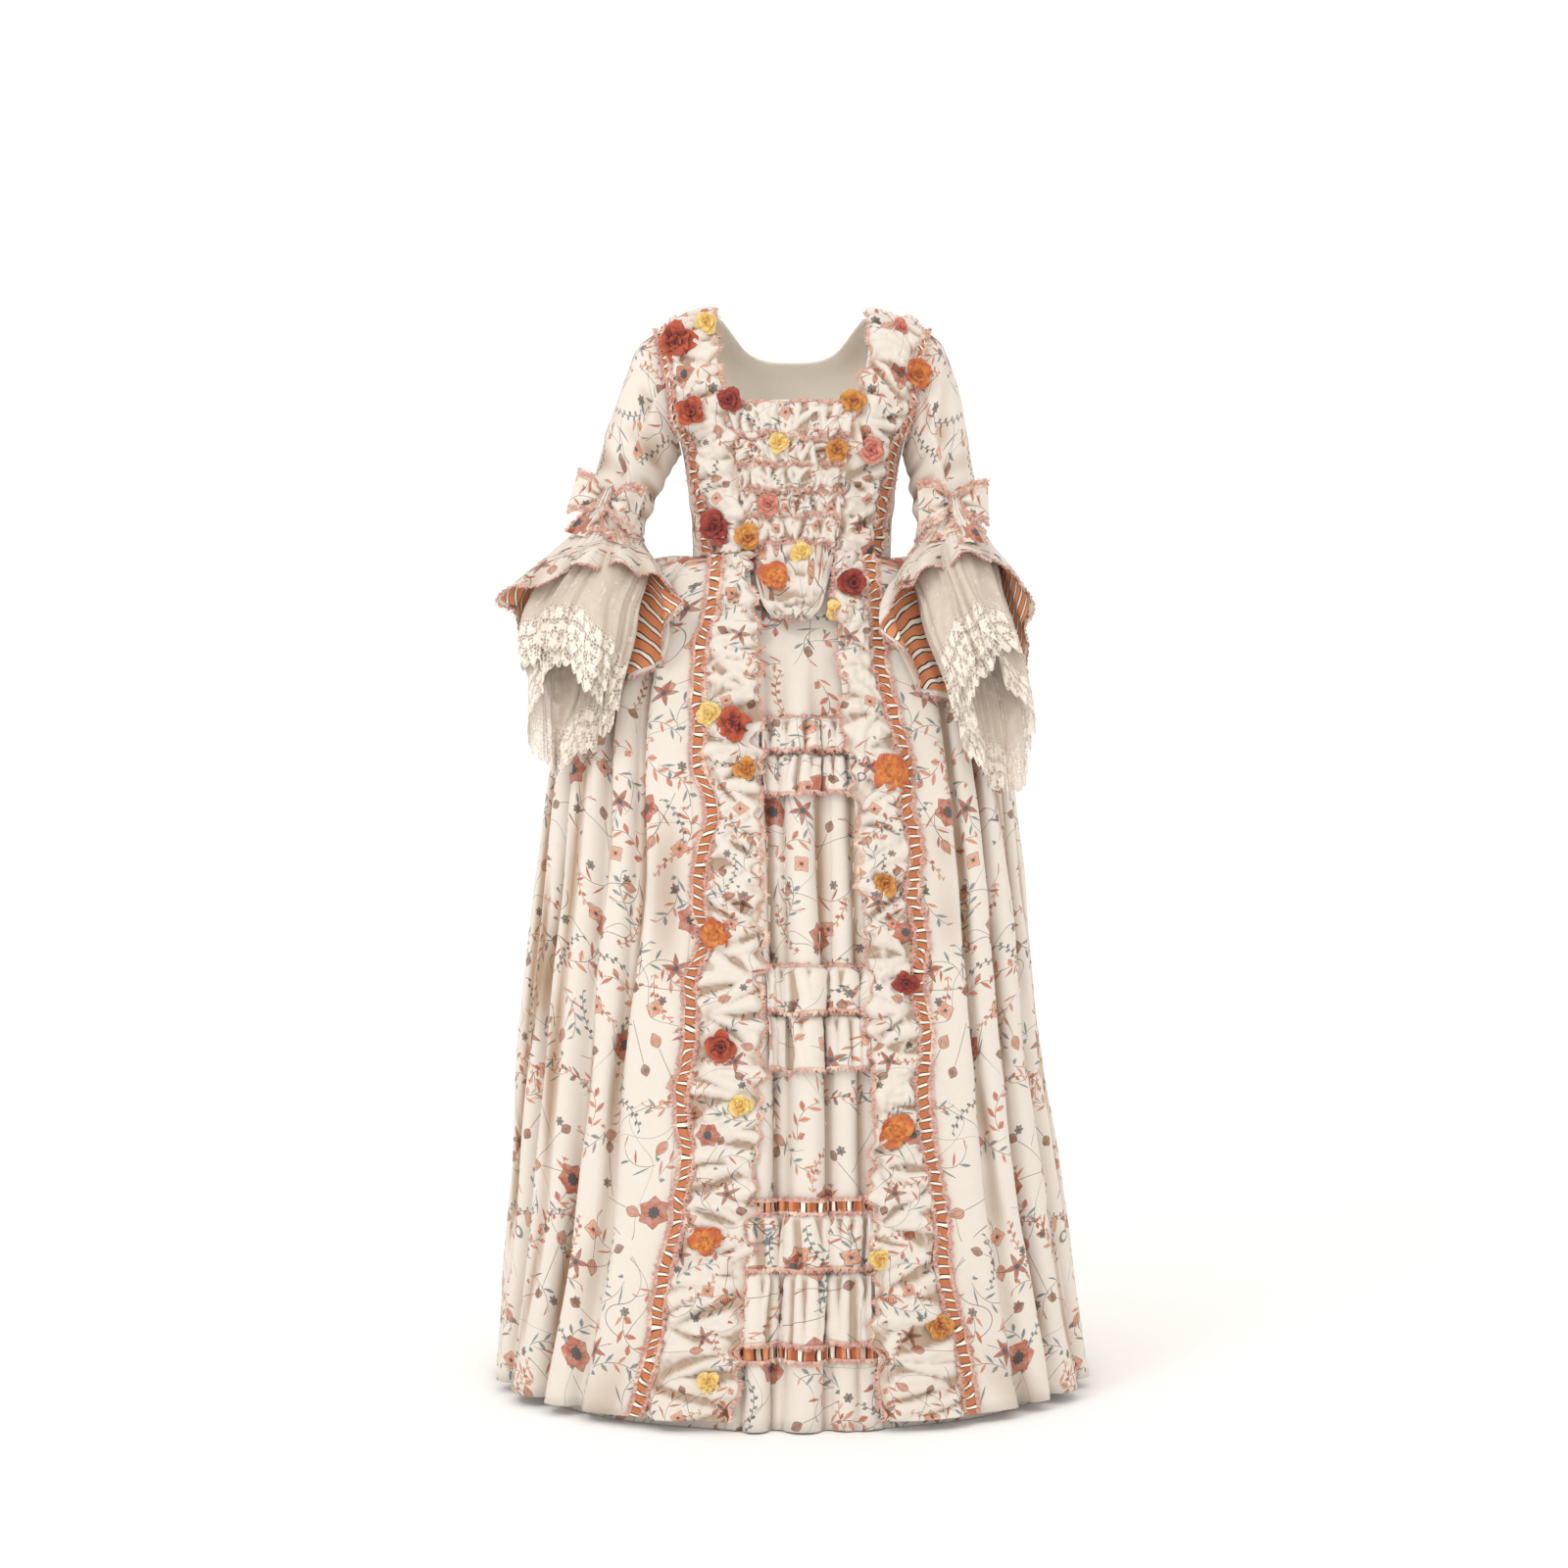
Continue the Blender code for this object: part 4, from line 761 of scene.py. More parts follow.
def newGroup(name, takes, gives):
    # inputs with their first values, where none is for a vector; outputs with their kinds
    group = bpy.data.node_groups.new(name, "ShaderNodeTree")
    for label, value in takes.items():
        kind = "Vector" if value is None else "Color" if isinstance(value, tuple) else "Float"
        socket = group.interface.new_socket(name=label, in_out="INPUT", socket_type="NodeSocket" + kind)
        if value is not None:
            socket.default_value = value
    for label, kind in gives.items():
        group.interface.new_socket(name=label, in_out="OUTPUT", socket_type="NodeSocket" + kind)
    sockets = group.nodes.new("NodeGroupInput").outputs
    return group, {label: Wire(group, sockets[label]) for label in takes}


def give(group, **values):
    outputs = group.nodes.new("NodeGroupOutput").inputs
    for label, value in values.items():
        feed(group, outputs[label], value)
    return group


def place(tree, group, **values):
    node = tree.nodes.new("ShaderNodeGroup")
    node.node_tree = group
    for label, value in values.items():
        feed(tree, node.inputs[label], value)
    return {socket.name: Wire(tree, socket) for socket in node.outputs}


def scattered(tree, drawing, cloth, cell, seed, stray, **shape):
    # one motif in each cell of the cloth: what is drawn there, and the cell's own number
    spot = place(tree, groups["scatter"], Cloth=cloth, Size=cell, Seed=seed, Stray=stray)
    return place(tree, groups[drawing], Spot=spot["Spot"], **shape), spot["Pick"]


def newMaterial(name, roughness, sheen):
    made = bpy.data.materials.new(name)
    made.use_nodes = True
    tree = made.node_tree
    shader = tree.nodes["Principled BSDF"]
    shader.inputs["Roughness"].default_value = roughness
    shader.inputs["Sheen Weight"].default_value = sheen
    shader.inputs["Sheen Roughness"].default_value = 0.5
    shader.inputs["Specular IOR Level"].default_value = 0.25
    return made, tree, shader


def clothPlace(tree):
    node = tree.nodes.new("ShaderNodeUVMap")
    node.uv_map = "cloth"
    return Wire(tree, node.outputs[0])


def spacePlace(tree):
    return Wire(tree, tree.nodes.new("ShaderNodeNewGeometry").outputs["Position"])


def hollowMask(tree):
    # reads the painted shade that each piece carries at its points
    node = tree.nodes.new("ShaderNodeAttribute")
    node.attribute_name = "paintedShade"
    return Wire(tree, node.outputs["Fac"])


def bumpInto(tree, shader, height, distance, strength):
    node = tree.nodes.new("ShaderNodeBump")
    node.inputs["Strength"].default_value = strength
    node.inputs["Distance"].default_value = distance
    feed(tree, node.inputs["Height"], height)
    tree.links.new(node.outputs[0], shader.inputs["Normal"])


# effects that several materials share


def weaveGroup():
    # a plain weave with uneven threads: its height, and how much lighter or darker each thread is
    group, takes = newGroup("weave", {"Cloth": None, "Thread": 0.0008}, {"Height": "Float", "Tint": "Float"})
    x, y, _ = splitVector(takes["Cloth"])
    turns = 2 * math.pi / takes["Thread"]
    threads = ((x * turns).do("SINE") + (y * turns).do("SINE")) * 0.25
    slubs = noise(joinVector(x * 900, y * 60, 0), 1) + noise(joinVector(x * 60, y * 900, 5), 1)
    uneven = slubs * 0.5
    return give(group, Height=threads + uneven, Tint=uneven * 0.20 + 0.90)


def scatterGroup():
    # scatters motifs: each cell holds one, moved and turned at random
    takes = {"Cloth": None, "Size": 0.1, "Seed": 0.0, "Stray": 0.3}
    group, takes = newGroup("scatter", takes, {"Spot": "Vector", "Pick": "Float"})
    x, y, _ = splitVector(takes["Cloth"])
    y = y / takes["Size"] + takes["Seed"]
    row = y.do("FLOOR")
    x = x / takes["Size"] + takes["Seed"] * 1.37 + row.do("MODULO", 2.0) * 0.5
    pick, *picks = chance(joinVector(x.do("FLOOR"), row, takes["Seed"]))
    across, down = ((value.do("FRACT") - 0.5 - (stray - 0.5) * takes["Stray"]) * takes["Size"]
                    for value, stray in zip((x, y), picks))
    turn = group.nodes.new("ShaderNodeVectorRotate")
    turn.rotation_type = "Z_AXIS"
    feed(group, turn.inputs["Vector"], joinVector(across, down, 0.0))
    feed(group, turn.inputs["Angle"], picks[2] * (2 * math.pi))
    return give(group, Spot=Wire(group, turn.outputs[0]), Pick=pick)


# how wide the print's lines are and how softly they end, in metres
pen = {
    "edge": 0.0006,
    "edgeSoft": 0.0005,
    "rib": 0.00035,
    "leafRib": 0.0004,
    "stem": 0.0005,
    "lineSoft": 0.0003,
    "soft": 0.0004,
}


def petalGroup():
    # petals round a middle: where they are, their drawn outline and veins, and how far out each place is
    takes = {"Spot": None, "Count": 5.0, "Reach": 0.01, "Width": 0.004, "Fullness": 1.0}
    gives = {"Fill": "Float", "Line": "Float", "Out": "Float", "Across": "Float"}
    group, takes = newGroup("petals", takes, gives)
    x, y, _ = splitVector(takes["Spot"])
    far = (x * x + y * y).do("SQRT")
    inPetal = (y.do("ARCTAN2", x) / (2 * math.pi) * takes["Count"]).do("FRACT") - 0.5
    angle = inPetal * (2 * math.pi) / takes["Count"]
    along = far * angle.do("COSINE") / takes["Reach"]
    aside = far * abs(angle.do("SINE"))
    bent = along.do("MAXIMUM", 0.0).do("MINIMUM", 1.0).do("POWER", takes["Fullness"])
    width = (bent * math.pi).do("SINE") * takes["Width"]
    fill = soften(width - aside, pen["soft"])
    edge = soften(pen["edge"] - abs(width - aside), pen["edgeSoft"]) * (along < 1.0) * (far > 0.0008)
    rib = soften(pen["rib"] - aside, pen["lineSoft"]) * fill * 0.7
    return give(group, Fill=fill, Line=edge.do("MAXIMUM", rib), Out=far / takes["Reach"],
                Across=aside / width.do("MAXIMUM", 0.0005))


def sprigGroup():
    # a curved stem with leaves on both sides of it
    takes = {"Spot": None, "Half": 0.03, "Bend": 9.0, "Pairs": 4.0, "Leaf": 0.012, "Width": 0.0022}
    group, takes = newGroup("sprig", takes, {"Fill": "Float", "Stem": "Float", "Tone": "Float"})
    x, y, _ = splitVector(takes["Spot"])
    y = y - x * x * takes["Bend"]
    off, onUpper = abs(y), y > 0.0
    pitch = takes["Half"] * 2.0 / takes["Pairs"]
    steps = (x + takes["Half"]) / pitch + onUpper * 0.35
    base = (steps.do("FRACT") - 0.12) * pitch
    lean = math.radians(48)
    along = base * math.cos(lean) + off * math.sin(lean)
    aside = abs(off * math.cos(lean) - base * math.sin(lean))
    share = (along / takes["Leaf"]).do("MAXIMUM", 0.0).do("MINIMUM", 1.0)
    leaf = soften((share * math.pi).do("SINE") * takes["Width"] - aside, pen["soft"])
    rib = soften(pen["leafRib"] - aside, pen["lineSoft"]) * leaf * 0.8
    stem = soften(pen["stem"] - off, pen["lineSoft"]).do("MAXIMUM", rib)
    inside = abs(x) < takes["Half"]
    tone = chance(joinVector(steps.do("FLOOR"), onUpper, 0.0))[0]
    return give(group, Fill=leaf * inside, Stem=stem * inside, Tone=tone)


inks = {
    "line": srgb(76, 68, 60),
    "rust": srgb(184, 98, 72),
    "salmon": srgb(204, 134, 106),
    "brick": srgb(160, 78, 58),
    "slate": srgb(116, 134, 138),
    "dusk": srgb(92, 96, 98),
    "brown": srgb(132, 96, 70),
    "blush": srgb(220, 166, 138),
}

printPlan = {
    "ground": srgb(222, 214, 204),
    "scale": 1.12,
    # leafy sprigs: cell, seed, half length, bend, pairs, leaf, width, its two inks
    "sprigs": [
        (0.070, 1.3, 0.029, 13.0, 4, 0.0135, 0.0021, "slate", "salmon"),
        (0.078, 7.7, 0.026, -17.0, 3, 0.0150, 0.0030, "salmon", "rust"),
        (0.083, 4.1, 0.031, 9.0, 6, 0.0058, 0.0021, "slate", "dusk"),
        (0.074, 11.9, 0.024, 22.0, 2, 0.0180, 0.0017, "slate", "rust"),
        (0.088, 16.4, 0.030, -11.0, 6, 0.0070, 0.0023, "blush", "rust"),
    ],
    # flowers and pods: cell, seed, petals, reach, petal width, fullness, its outer ink, its inner ink, striped
    "flowers": [
        (0.068, 6.1, 6, 0.0058, 0.0016, 0.90, "brown", "dusk", False),
        (0.086, 2.6, 4, 0.0108, 0.0048, 0.80, "blush", "salmon", False),
        (0.082, 9.4, 1, 0.0190, 0.0058, 0.85, "salmon", "brown", True),
        (0.094, 12.7, 1, 0.0150, 0.0050, 1.00, "brown", "brick", True),
        (0.104, 5.2, 5, 0.0170, 0.0027, 0.65, "rust", "brick", False),
        (0.152, 3.3, 6, 0.0185, 0.0086, 0.78, "rust", "brick", False),
    ],
    # the dark ruffled heart of the largest flower, in the same cells
    "heart": (0.152, 3.3, 9, 0.0068, 0.0024, 0.70),
    # stems that wander over the cloth: how far apart, their swing and its length, and which way they run
    "trails": [(0.118, 0.026, 0.150, 0.0), (0.134, 0.034, 0.210, 1.1)],
    "sprigStray": 0.34,
    "flowerStray": 0.38,
    # the cells whose own number is below these stay empty
    "sprigsFrom": 0.50,
    "flowersFrom": 0.40,
}


def drawTrail(cloth, plan):
    # thin stems that wander one way across the cloth
    pitch, swing, length, turn = plan
    x, y, _ = splitVector(cloth)
    along = x * math.sin(turn) + y * math.cos(turn)
    across = x * math.cos(turn) - y * math.sin(turn)
    sway = (along * (2 * math.pi / length)).do("SINE") * swing + (noise(cloth, 9, 1) - 0.5) * 0.17
    off = abs(((across + sway) / pitch).do("FRACT") - 0.5) * pitch
    return soften(pen["edge"] - off, pen["soft"]) * (noise(cloth, 11, 1) > 0.44) * 0.8


def drawSprig(colour, cloth, worn, plan):
    size, seed, half, bend, pairs, leaf, width, first, second = plan
    drawn, pick = scattered(cloth.tree, "sprig", cloth, size, seed, printPlan["sprigStray"], Half=half, Bend=bend,
                            Pairs=pairs, Leaf=leaf, Width=width)
    shown = pick > printPlan["sprigsFrom"]
    fill = mixColour((drawn["Tone"] + pick).do("FRACT") > 0.5, inks[first], inks[second])
    colour = mixColour(drawn["Fill"] * shown * worn, colour, fill)
    return mixColour(drawn["Stem"] * shown * 0.85, colour, inks["line"])


def drawFlower(colour, cloth, worn, plan):
    size, seed, count, reach, width, fullness, outer, heart, striped = plan
    drawn, pick = scattered(cloth.tree, "petals", cloth, size, seed, printPlan["flowerStray"], Count=count,
                            Reach=reach, Width=width, Fullness=fullness)
    shown = pick > printPlan["flowersFrom"]
    if striped:
        fill = mixColour((drawn["Across"] * 1.7).do("FRACT") > 0.62, inks[outer], inks[heart])
    else:
        fill = mixColour(soften(drawn["Out"] - 0.25, 0.6), inks[heart], inks[outer])
    colour = mixColour(drawn["Fill"] * shown * worn, colour, fill)
    colour = mixColour(drawn["Line"] * shown * 0.8, colour, inks["line"])
    return colour if striped else mixColour(soften(0.22 - drawn["Out"], 0.06) * shown, colour, inks["dusk"])


def drawHeart(colour, cloth):
    size, seed, count, reach, width, fullness = printPlan["heart"]
    drawn, pick = scattered(cloth.tree, "petals", cloth, size, seed, printPlan["flowerStray"], Count=count,
                            Reach=reach, Width=width, Fullness=fullness)
    shown = pick > printPlan["flowersFrom"]
    colour = mixColour(drawn["Fill"] * shown, colour, inks["dusk"])
    return mixColour(drawn["Line"] * shown, colour, inks["line"])


def printGroup():
    # scattered sprigs, flowers, pods and trailing stems in rust, slate and brown inks on a pale ground
    group, takes = newGroup("sprigPrint", {"Cloth": None, "Ground": printPlan["ground"]}, {"Colour": "Color"})
    x, y, _ = splitVector(takes["Cloth"])
    cloth = joinVector(x / printPlan["scale"], y / printPlan["scale"], 0.0)
    worn = noise(cloth, 130, 2) * 0.7 + 0.45
    colour = takes["Ground"]
    for plan in printPlan["trails"]:
        colour = mixColour(drawTrail(cloth, plan), colour, inks["dusk"])
    for plan in printPlan["sprigs"]:
        colour = drawSprig(colour, cloth, worn, plan)
    for plan in printPlan["flowers"]:
        colour = drawFlower(colour, cloth, worn, plan)
    return give(group, Colour=drawHeart(colour, cloth))


stripes = {
    "pitch": 0.0140,
    "white": 0.25,
    "edge": 0.095,
    "soft": 0.02,
    "drift": 0.006,
    "colours": [srgb(214, 138, 96), srgb(62, 55, 52), srgb(244, 237, 224)],
}


def stripeGroup():
    # orange cloth with white bars edged in dark, by the distance across the stripes
    group, takes = newGroup("stripes", {"Across": 0.0, "Pitch": stripes["pitch"]}, {"Colour": "Color"})
    off = abs((takes["Across"] / takes["Pitch"]).do("FRACT") - 0.5)
    orange, dark, white = stripes["colours"]
    half = stripes["white"] / 2
    colour = mixColour(soften(half + stripes["edge"] - off, stripes["soft"]), orange, dark)
    return give(group, Colour=mixColour(soften(half - off, stripes["soft"]), colour, white))


def creaseGroup():
    # painted shade: darkens and warms the cloth's colour in its hollows
    takes = {"Colour": (1, 1, 1, 1), "Hollow": 0.0, "Depth": 0.5}
    group, takes = newGroup("creaseShade", takes, {"Colour": "Color"})
    # the warm brown of the painted shade, multiplied in as far as the mask and the depth say
    shade = mixColour(takes["Hollow"] * takes["Depth"], takes["Colour"], srgb(180, 148, 120), blend="MULTIPLY")
    return give(group, Colour=shade)


groups = {"weave": weaveGroup(), "scatter": scatterGroup(), "petals": petalGroup(), "sprig": sprigGroup()}
groups.update({"print": printGroup(), "stripes": stripeGroup(), "crease": creaseGroup()})


def clothColour(tree, shader, colour, weave, depth, bump=(0.00025, 0.5)):
    # the colour with painted shade in the hollows and darkened by the weave, and the weave's bump; depth is how
    # strong the painted shade is
    shaded = place(tree, groups["crease"], Colour=colour, Hollow=hollowMask(tree), Depth=depth)["Colour"]
    tint = joinVector(weave["Tint"], weave["Tint"], weave["Tint"])
    feed(tree, shader.inputs["Base Color"], mixColour(1.0, shaded, tint, tree, "MULTIPLY"))
    bumpInto(tree, shader, weave["Height"], *bump)


def printedCotton():
    made, tree, shader = newMaterial("printedCotton", 0.86, 0.12)
    cloth = clothPlace(tree)
    weave = place(tree, groups["weave"], Cloth=cloth)
    clothColour(tree, shader, place(tree, groups["print"], Cloth=cloth)["Colour"], weave, 0.9)
    return made


def plainCotton():
    made, tree, shader = newMaterial("plainCotton", 0.9, 0.1)
    weave = place(tree, groups["weave"], Cloth=clothPlace(tree), Thread=0.001)
    clothColour(tree, shader, srgb(246, 238, 226), weave, 0.35)
    return made


def stripedCotton(name, along, pitch):
    made, tree, shader = newMaterial(name, 0.78, 0.1)
    cloth = clothPlace(tree)
    x, y, _ = splitVector(cloth)
    across = x * along[0] + y * along[1] + (noise(cloth, 34, 1) - 0.5) * stripes["drift"]
    colour = place(tree, groups["stripes"], Across=across, Pitch=pitch)["Colour"]
    clothColour(tree, shader, colour, place(tree, groups["weave"], Cloth=cloth), 0.8, (0.0002, 0.4))
    return made


def frayedSilk():
    # pink silk gauze: its cloth map runs along the edge and out from it, thinner towards its frayed end
    made, tree, shader = newMaterial("frayedSilk", 0.6, 0.25)
    x, y, _ = splitVector(clothPlace(tree))
    where = spacePlace(tree)
    tone = mixColour(noise(where, 160, 2), srgb(200, 144, 130), srgb(226, 186, 172))
    pale = soften(noise(where, 38, 1) - 0.50, 0.2)
    feed(tree, shader.inputs["Base Color"], mixColour(pale, tone, srgb(236, 208, 190)))
    threads = noise(joinVector(x * 1500, y * 2, 0), 1, 1)
    feed(tree, shader.inputs["Alpha"], soften(threads * 1.5 + 0.35 - y, 0.25))
    return made


laceNet = {
    "mesh": 0.0050,
    "thread": 0.17,
    "band": 0.068,
    "scallop": 0.0165,
    "scallopRise": 0.0075,
    "cord": 0.0022,
    # its worked flowers: cell, seed, petals, reach and petal width
    "flowers": [(0.020, 2.0, 5, 0.0086, 0.0026), (0.013, 6.0, 4, 0.0048, 0.0017)],
    # how closed the plain net above the band is at least, and how much more in places; then the band's net
    "tulle": (0.42, 0.35),
    "ground": (0.16, 0.70),
}


def laceCream():
    # a fine net with a worked edge of flowers; the cloth map runs up from the scalloped edge
    made, tree, shader = newMaterial("laceCream", 0.8, 0.1)
    x, y, _ = splitVector(clothPlace(tree))
    cloth = joinVector(x, y, 0.0)
    net = tree.nodes.new("ShaderNodeTexVoronoi")
    net.voronoi_dimensions = "2D"
    net.feature = "DISTANCE_TO_EDGE"
    net.inputs["Scale"].default_value = 1 / laceNet["mesh"]
    net.inputs["Randomness"].default_value = 0.35
    feed(tree, net.inputs["Vector"], cloth)
    mesh = soften(laceNet["thread"] - Wire(tree, net.outputs["Distance"]), 0.05)
    motifs = []
    for size, seed, count, reach, width in laceNet["flowers"]:
        drawn, _ = scattered(tree, "petals", cloth, size, seed, 0.25, Count=count, Reach=reach, Width=width)
        motifs.append(drawn["Fill"].do("MAXIMUM", drawn["Line"]))
    inBand = soften(laceNet["band"] - y, 0.012)
    strayFlowers = (noise(cloth, 60, 1) > 0.62) * 0.7
    solid = motifs[0].do("MAXIMUM", motifs[1]) * inBand.do("MAXIMUM", strayFlowers)
    scallop = (1.0 - abs((x * math.pi / laceNet["scallop"]).do("SINE"))) * laceNet["scallopRise"]
    above = y - scallop
    worked = solid.do("MAXIMUM", soften(laceNet["cord"] - above, 0.0006))
    (tulle, tulleMore), (ground, groundMore) = laceNet["tulle"], laceNet["ground"]
    closedness = mixValue(inBand, noise(cloth, 45, 2) * tulleMore + tulle, mesh * groundMore + ground)
    feed(tree, shader.inputs["Alpha"], closedness.do("MAXIMUM", worked * 0.95) * (above > 0.0))
    tint = mixColour(worked, srgb(228, 216, 202), srgb(240, 232, 220))
    # painted shade in the lace's gathers, weaker than on the cotton
    shaded = place(tree, groups["crease"], Colour=tint, Hollow=hollowMask(tree), Depth=0.25)["Colour"]
    feed(tree, shader.inputs["Base Color"], shaded)
    bumpInto(tree, shader, worked, 0.0005, 0.7)
    return made


petalTints = {
    "rust": (srgb(186, 88, 60), srgb(112, 38, 34)),
    "flame": (srgb(194, 100, 62), srgb(222, 150, 72)),
    "gold": (srgb(212, 150, 74), srgb(160, 84, 44)),
    "red": (srgb(158, 64, 52), srgb(104, 32, 34)),
    "rose": (srgb(214, 142, 122), srgb(172, 82, 72)),
    "pale": (srgb(238, 212, 136), srgb(214, 160, 74)),
}


def petalSilk(kind):
    outer, heart = petalTints[kind]
    made, tree, shader = newMaterial("petalSilk_" + kind, 0.62, 0.35)
    x, y, _ = splitVector(clothPlace(tree))
    blotch = noise(spacePlace(tree), 90, 3)
    reach = y + (blotch - 0.5) * 0.9
    colour = mixColour(soften(reach - 0.22, 0.60), heart, outer)
    colour = mixColour(soften(reach - 0.92, 0.5) * 0.45, colour, srgb(236, 196, 150))
    feed(tree, shader.inputs["Base Color"], colour)
    bumpInto(tree, shader, (x * 34.0).do("SINE") + blotch, 0.0003, 0.5)
    return made


finishes = {
    "printed": printedCotton(),
    "plain": plainCotton(),
    "ribbon": stripedCotton("ribbonStripes", (0.0, 1.0), stripes["pitch"]),
    "lining": stripedCotton("liningStripes", (0.72, 0.70), 0.0145),
    "fray": frayedSilk(),
    "lace": laceCream(),
}
finishes.update({kind: petalSilk(kind) for kind in petalTints})
print("materials made")


# the panels: each is the construction's own form with finer folds and creases on it

# how many times finer each panel's grid becomes, down and across
fine = {
    "bodice": (8, 8),
    "skirt": (8, 5),
    "stomacher": (8, 10),
    "back": (6, 5),
    "sack": (6, 1),
    "petticoat": (7, 5),
}

creasing = {
    # how far the creases wander, how often in a metre's height and at how many times their phase
    "wander": [(0.007, 7, 1), (0.003, 19, 2)],
    "fadeLow": (0.12, 0.10),
    "fadeHigh": 0.16,
    "lips": 0.55,
    "lipsPlace": 1.7,
    "soft": 0.0012,
    "softLength": 0.16,
    "seed": {"left": 3, "right": 4},
    "flatTo": (0.004, 0.030),
    # how deep a crease is where its painted shade is full
    "darkest": 0.0038,
}


def creased(grid, word):
    # lays the placed creases down a side of the skirt, away from the flat front under the trimmings, and gives the
    # painted shade in them
    flatColumns = 4 * fine["skirt"][1]
    across = runLength(grid.transpose(1, 0, 2)).T
    across = across - across[:, flatColumns:flatColumns + 1]
    height = grid[..., 2]
    depth = np.zeros(height.shape)
    for i, (share, high, low, deep, width) in enumerate(skirt["creases"]):
        phase = i * 1.7 + (0.9 if word == "left" else 0)
        wander = sum(far * np.sin(height * often + times * phase) for far, often, times in creasing["wander"])
        off = (across - share * across[:, -1:] - wander) / (width * (0.8 + 0.5 * (1.0 - height)))
        below, above = creasing["fadeLow"]
        fade = smoothStep(low - below, low + above, height)
        fade = fade * (1 - smoothStep(high - creasing["fadeHigh"], high, height))
        lips = creasing["lips"] * np.exp(-((np.abs(off) - creasing["lipsPlace"]) ** 2))
        depth += deep * fade * (lips - np.exp(-(off**2)))
    depth += creasing["soft"] * ripple(across, height, creasing["softLength"], creasing["seed"][word])
    depth *= smoothStep(*creasing["flatTo"], across)
    # the second value is the painted shade, full where a crease is creasing['darkest'] deep
    return lifted(grid, depth), np.clip(-depth / creasing["darkest"], 0, 1)


def makePetticoat():
    grid = refine(petticoatGrid(), *fine["petticoat"], around=True)
    x, height = grid[..., 0], grid[..., 2]
    column, lastShown, edge = np.arange(grid.shape[1]), 14 * fine["petticoat"][1], petticoat["edgeColumns"]
    shown = smoothStep(-1, edge, column) * (1 - smoothStep(lastShown - edge, lastShown + 1, column))
    shown = shown * smoothStep(*petticoat["hang"], height)
    sway, often = petticoat["sway"]
    folds = np.zeros(height.shape)
    for middle, half, tall in petticoat["ridges"]:
        off = (x - middle - sway * np.sin(height * often)) / (half * (1.25 - 0.35 * height))
        folds = np.maximum(folds, tall * np.clip(1 - off**2, 0, 1) ** petticoat["ridgeRoundness"])
    folds = folds - petticoat["valley"] + petticoat["soft"] * ripple(x, height * 0.3, 0.05, 5)
    folds = folds * shown
    grid = lifted(grid, folds, True)
    panels["petticoat"] = grid
    # painted shade in the valleys between the front folds and down the sides of the ridges
    shade = np.clip((petticoat["darkBelow"] - folds) / petticoat["darkOver"], 0, 1) * shown
    makeCloth("petticoat", grid, "printed", "gathered", ["bodice_back"], around=True, slot="petticoat_cotton",
              inside="plain", shade=shade)


def makeSleeve(word, side):
    angles = np.linspace(0, 2 * math.pi, sleeve["columns"], endpoint=False)
    grid = refineAxis(sleeveRings(word, angles), sleeve["finer"], False)
    low = np.linspace(0, 1, grid.shape[0])[:, None]
    angles = angles[None, :]
    inner = np.clip(-np.sin(angles), 0, 1) + 0.35 * np.clip(np.cos(angles), 0, 1)
    folds = sleeve["elbowCreases"] * inner * np.sin(low * 34 + 1.2 * np.cos(angles)) * smoothStep(0.25, 0.7, low)
    folds = folds + sleeve["soft"] * ripple(angles * 0.05, low * 0.25, 0.07, 31 + side)
    folds = folds * smoothStep(0.0, 0.12, low)
    # painted shade in the creases of the sleeve
    makeCloth("sleeve_" + word, lifted(grid, folds, True), "printed", "stretched", ["bodice_front_" + word], side,
              around=True, inside="plain", shade=np.clip(-folds / sleeve["darkest"], 0, 1))


panels = {}
bare = {word: skirtGrid(word) for word in sides}
for word, side in sides.items():
    grid, paintedShade = creased(refine(bare[word], *fine["skirt"]), word)
    panels["skirt_" + word] = grid
    makeCloth("skirt_" + word, grid, "printed", "gathered", ["bodice_front_" + word], side, inside="plain",
              shade=paintedShade)
    grid = refine(frontGrid(), *fine["bodice"])
    grid = lifted(grid, bodiceFront["soft"] * ripple(grid[..., 0], grid[..., 2], 0.045, 21 + side))
    panels["bodice_front_" + word] = grid
    makeCloth("bodice_front_" + word, grid, "printed", "stretched", ["bodice_back"], side, inside="plain")

makeCloth("bodice_back", refine(backGrid(), *fine["back"]), "printed", "stretched",
          ["bodice_front_left", "bodice_front_right"], inside="plain")

grid = refine(sackGrid(bare), *fine["sack"])
height = grid[..., 2]
soft = sack["soft"] * ripple(grid[..., 0], height * 0.07, 0.085, 8) * smoothStep(*sack["softFrom"], height)
# painted shade in the sack's soft folds, at most 0.4
makeCloth("sack_back", lifted(grid, soft), "printed", "gathered", ["bodice_back"], inside="plain",
          shade=np.clip(-soft / sack["darkest"], 0, 0.4))

panels["stomacher"] = refine(stomacherGrid(), *fine["stomacher"])
makeCloth("stomacher", panels["stomacher"], "printed", "stretched", ["petticoat"], inside="plain")
makePetticoat()
for word, side in sides.items():
    makeSleeve(word, side)
print("panels made")


# frayed silk edging, gathered from the edges of the trimmings and made at the end

fray = {
    "strandLength": 0.0030,
    "perMetre": 700,
    "strandWidth": 0.0004,
    "base": 0.0052,
    "frill": 0.0024,
    "frillLength": 0.0075,
    "lean": 0.5,
    "step": 0.0016,
}
frayLines = {}


def addFray(name, line, outward, lift, side=1):
    # a line of points with the direction away from the cloth's edge and the direction off the cloth at each
    turned = np.array([side, 1, 1])
    line = line * turned - np.array([0, 0, shoulderHeight])
    frayLines.setdefault(name, []).append((line, unit(outward) * turned, lift * turned))


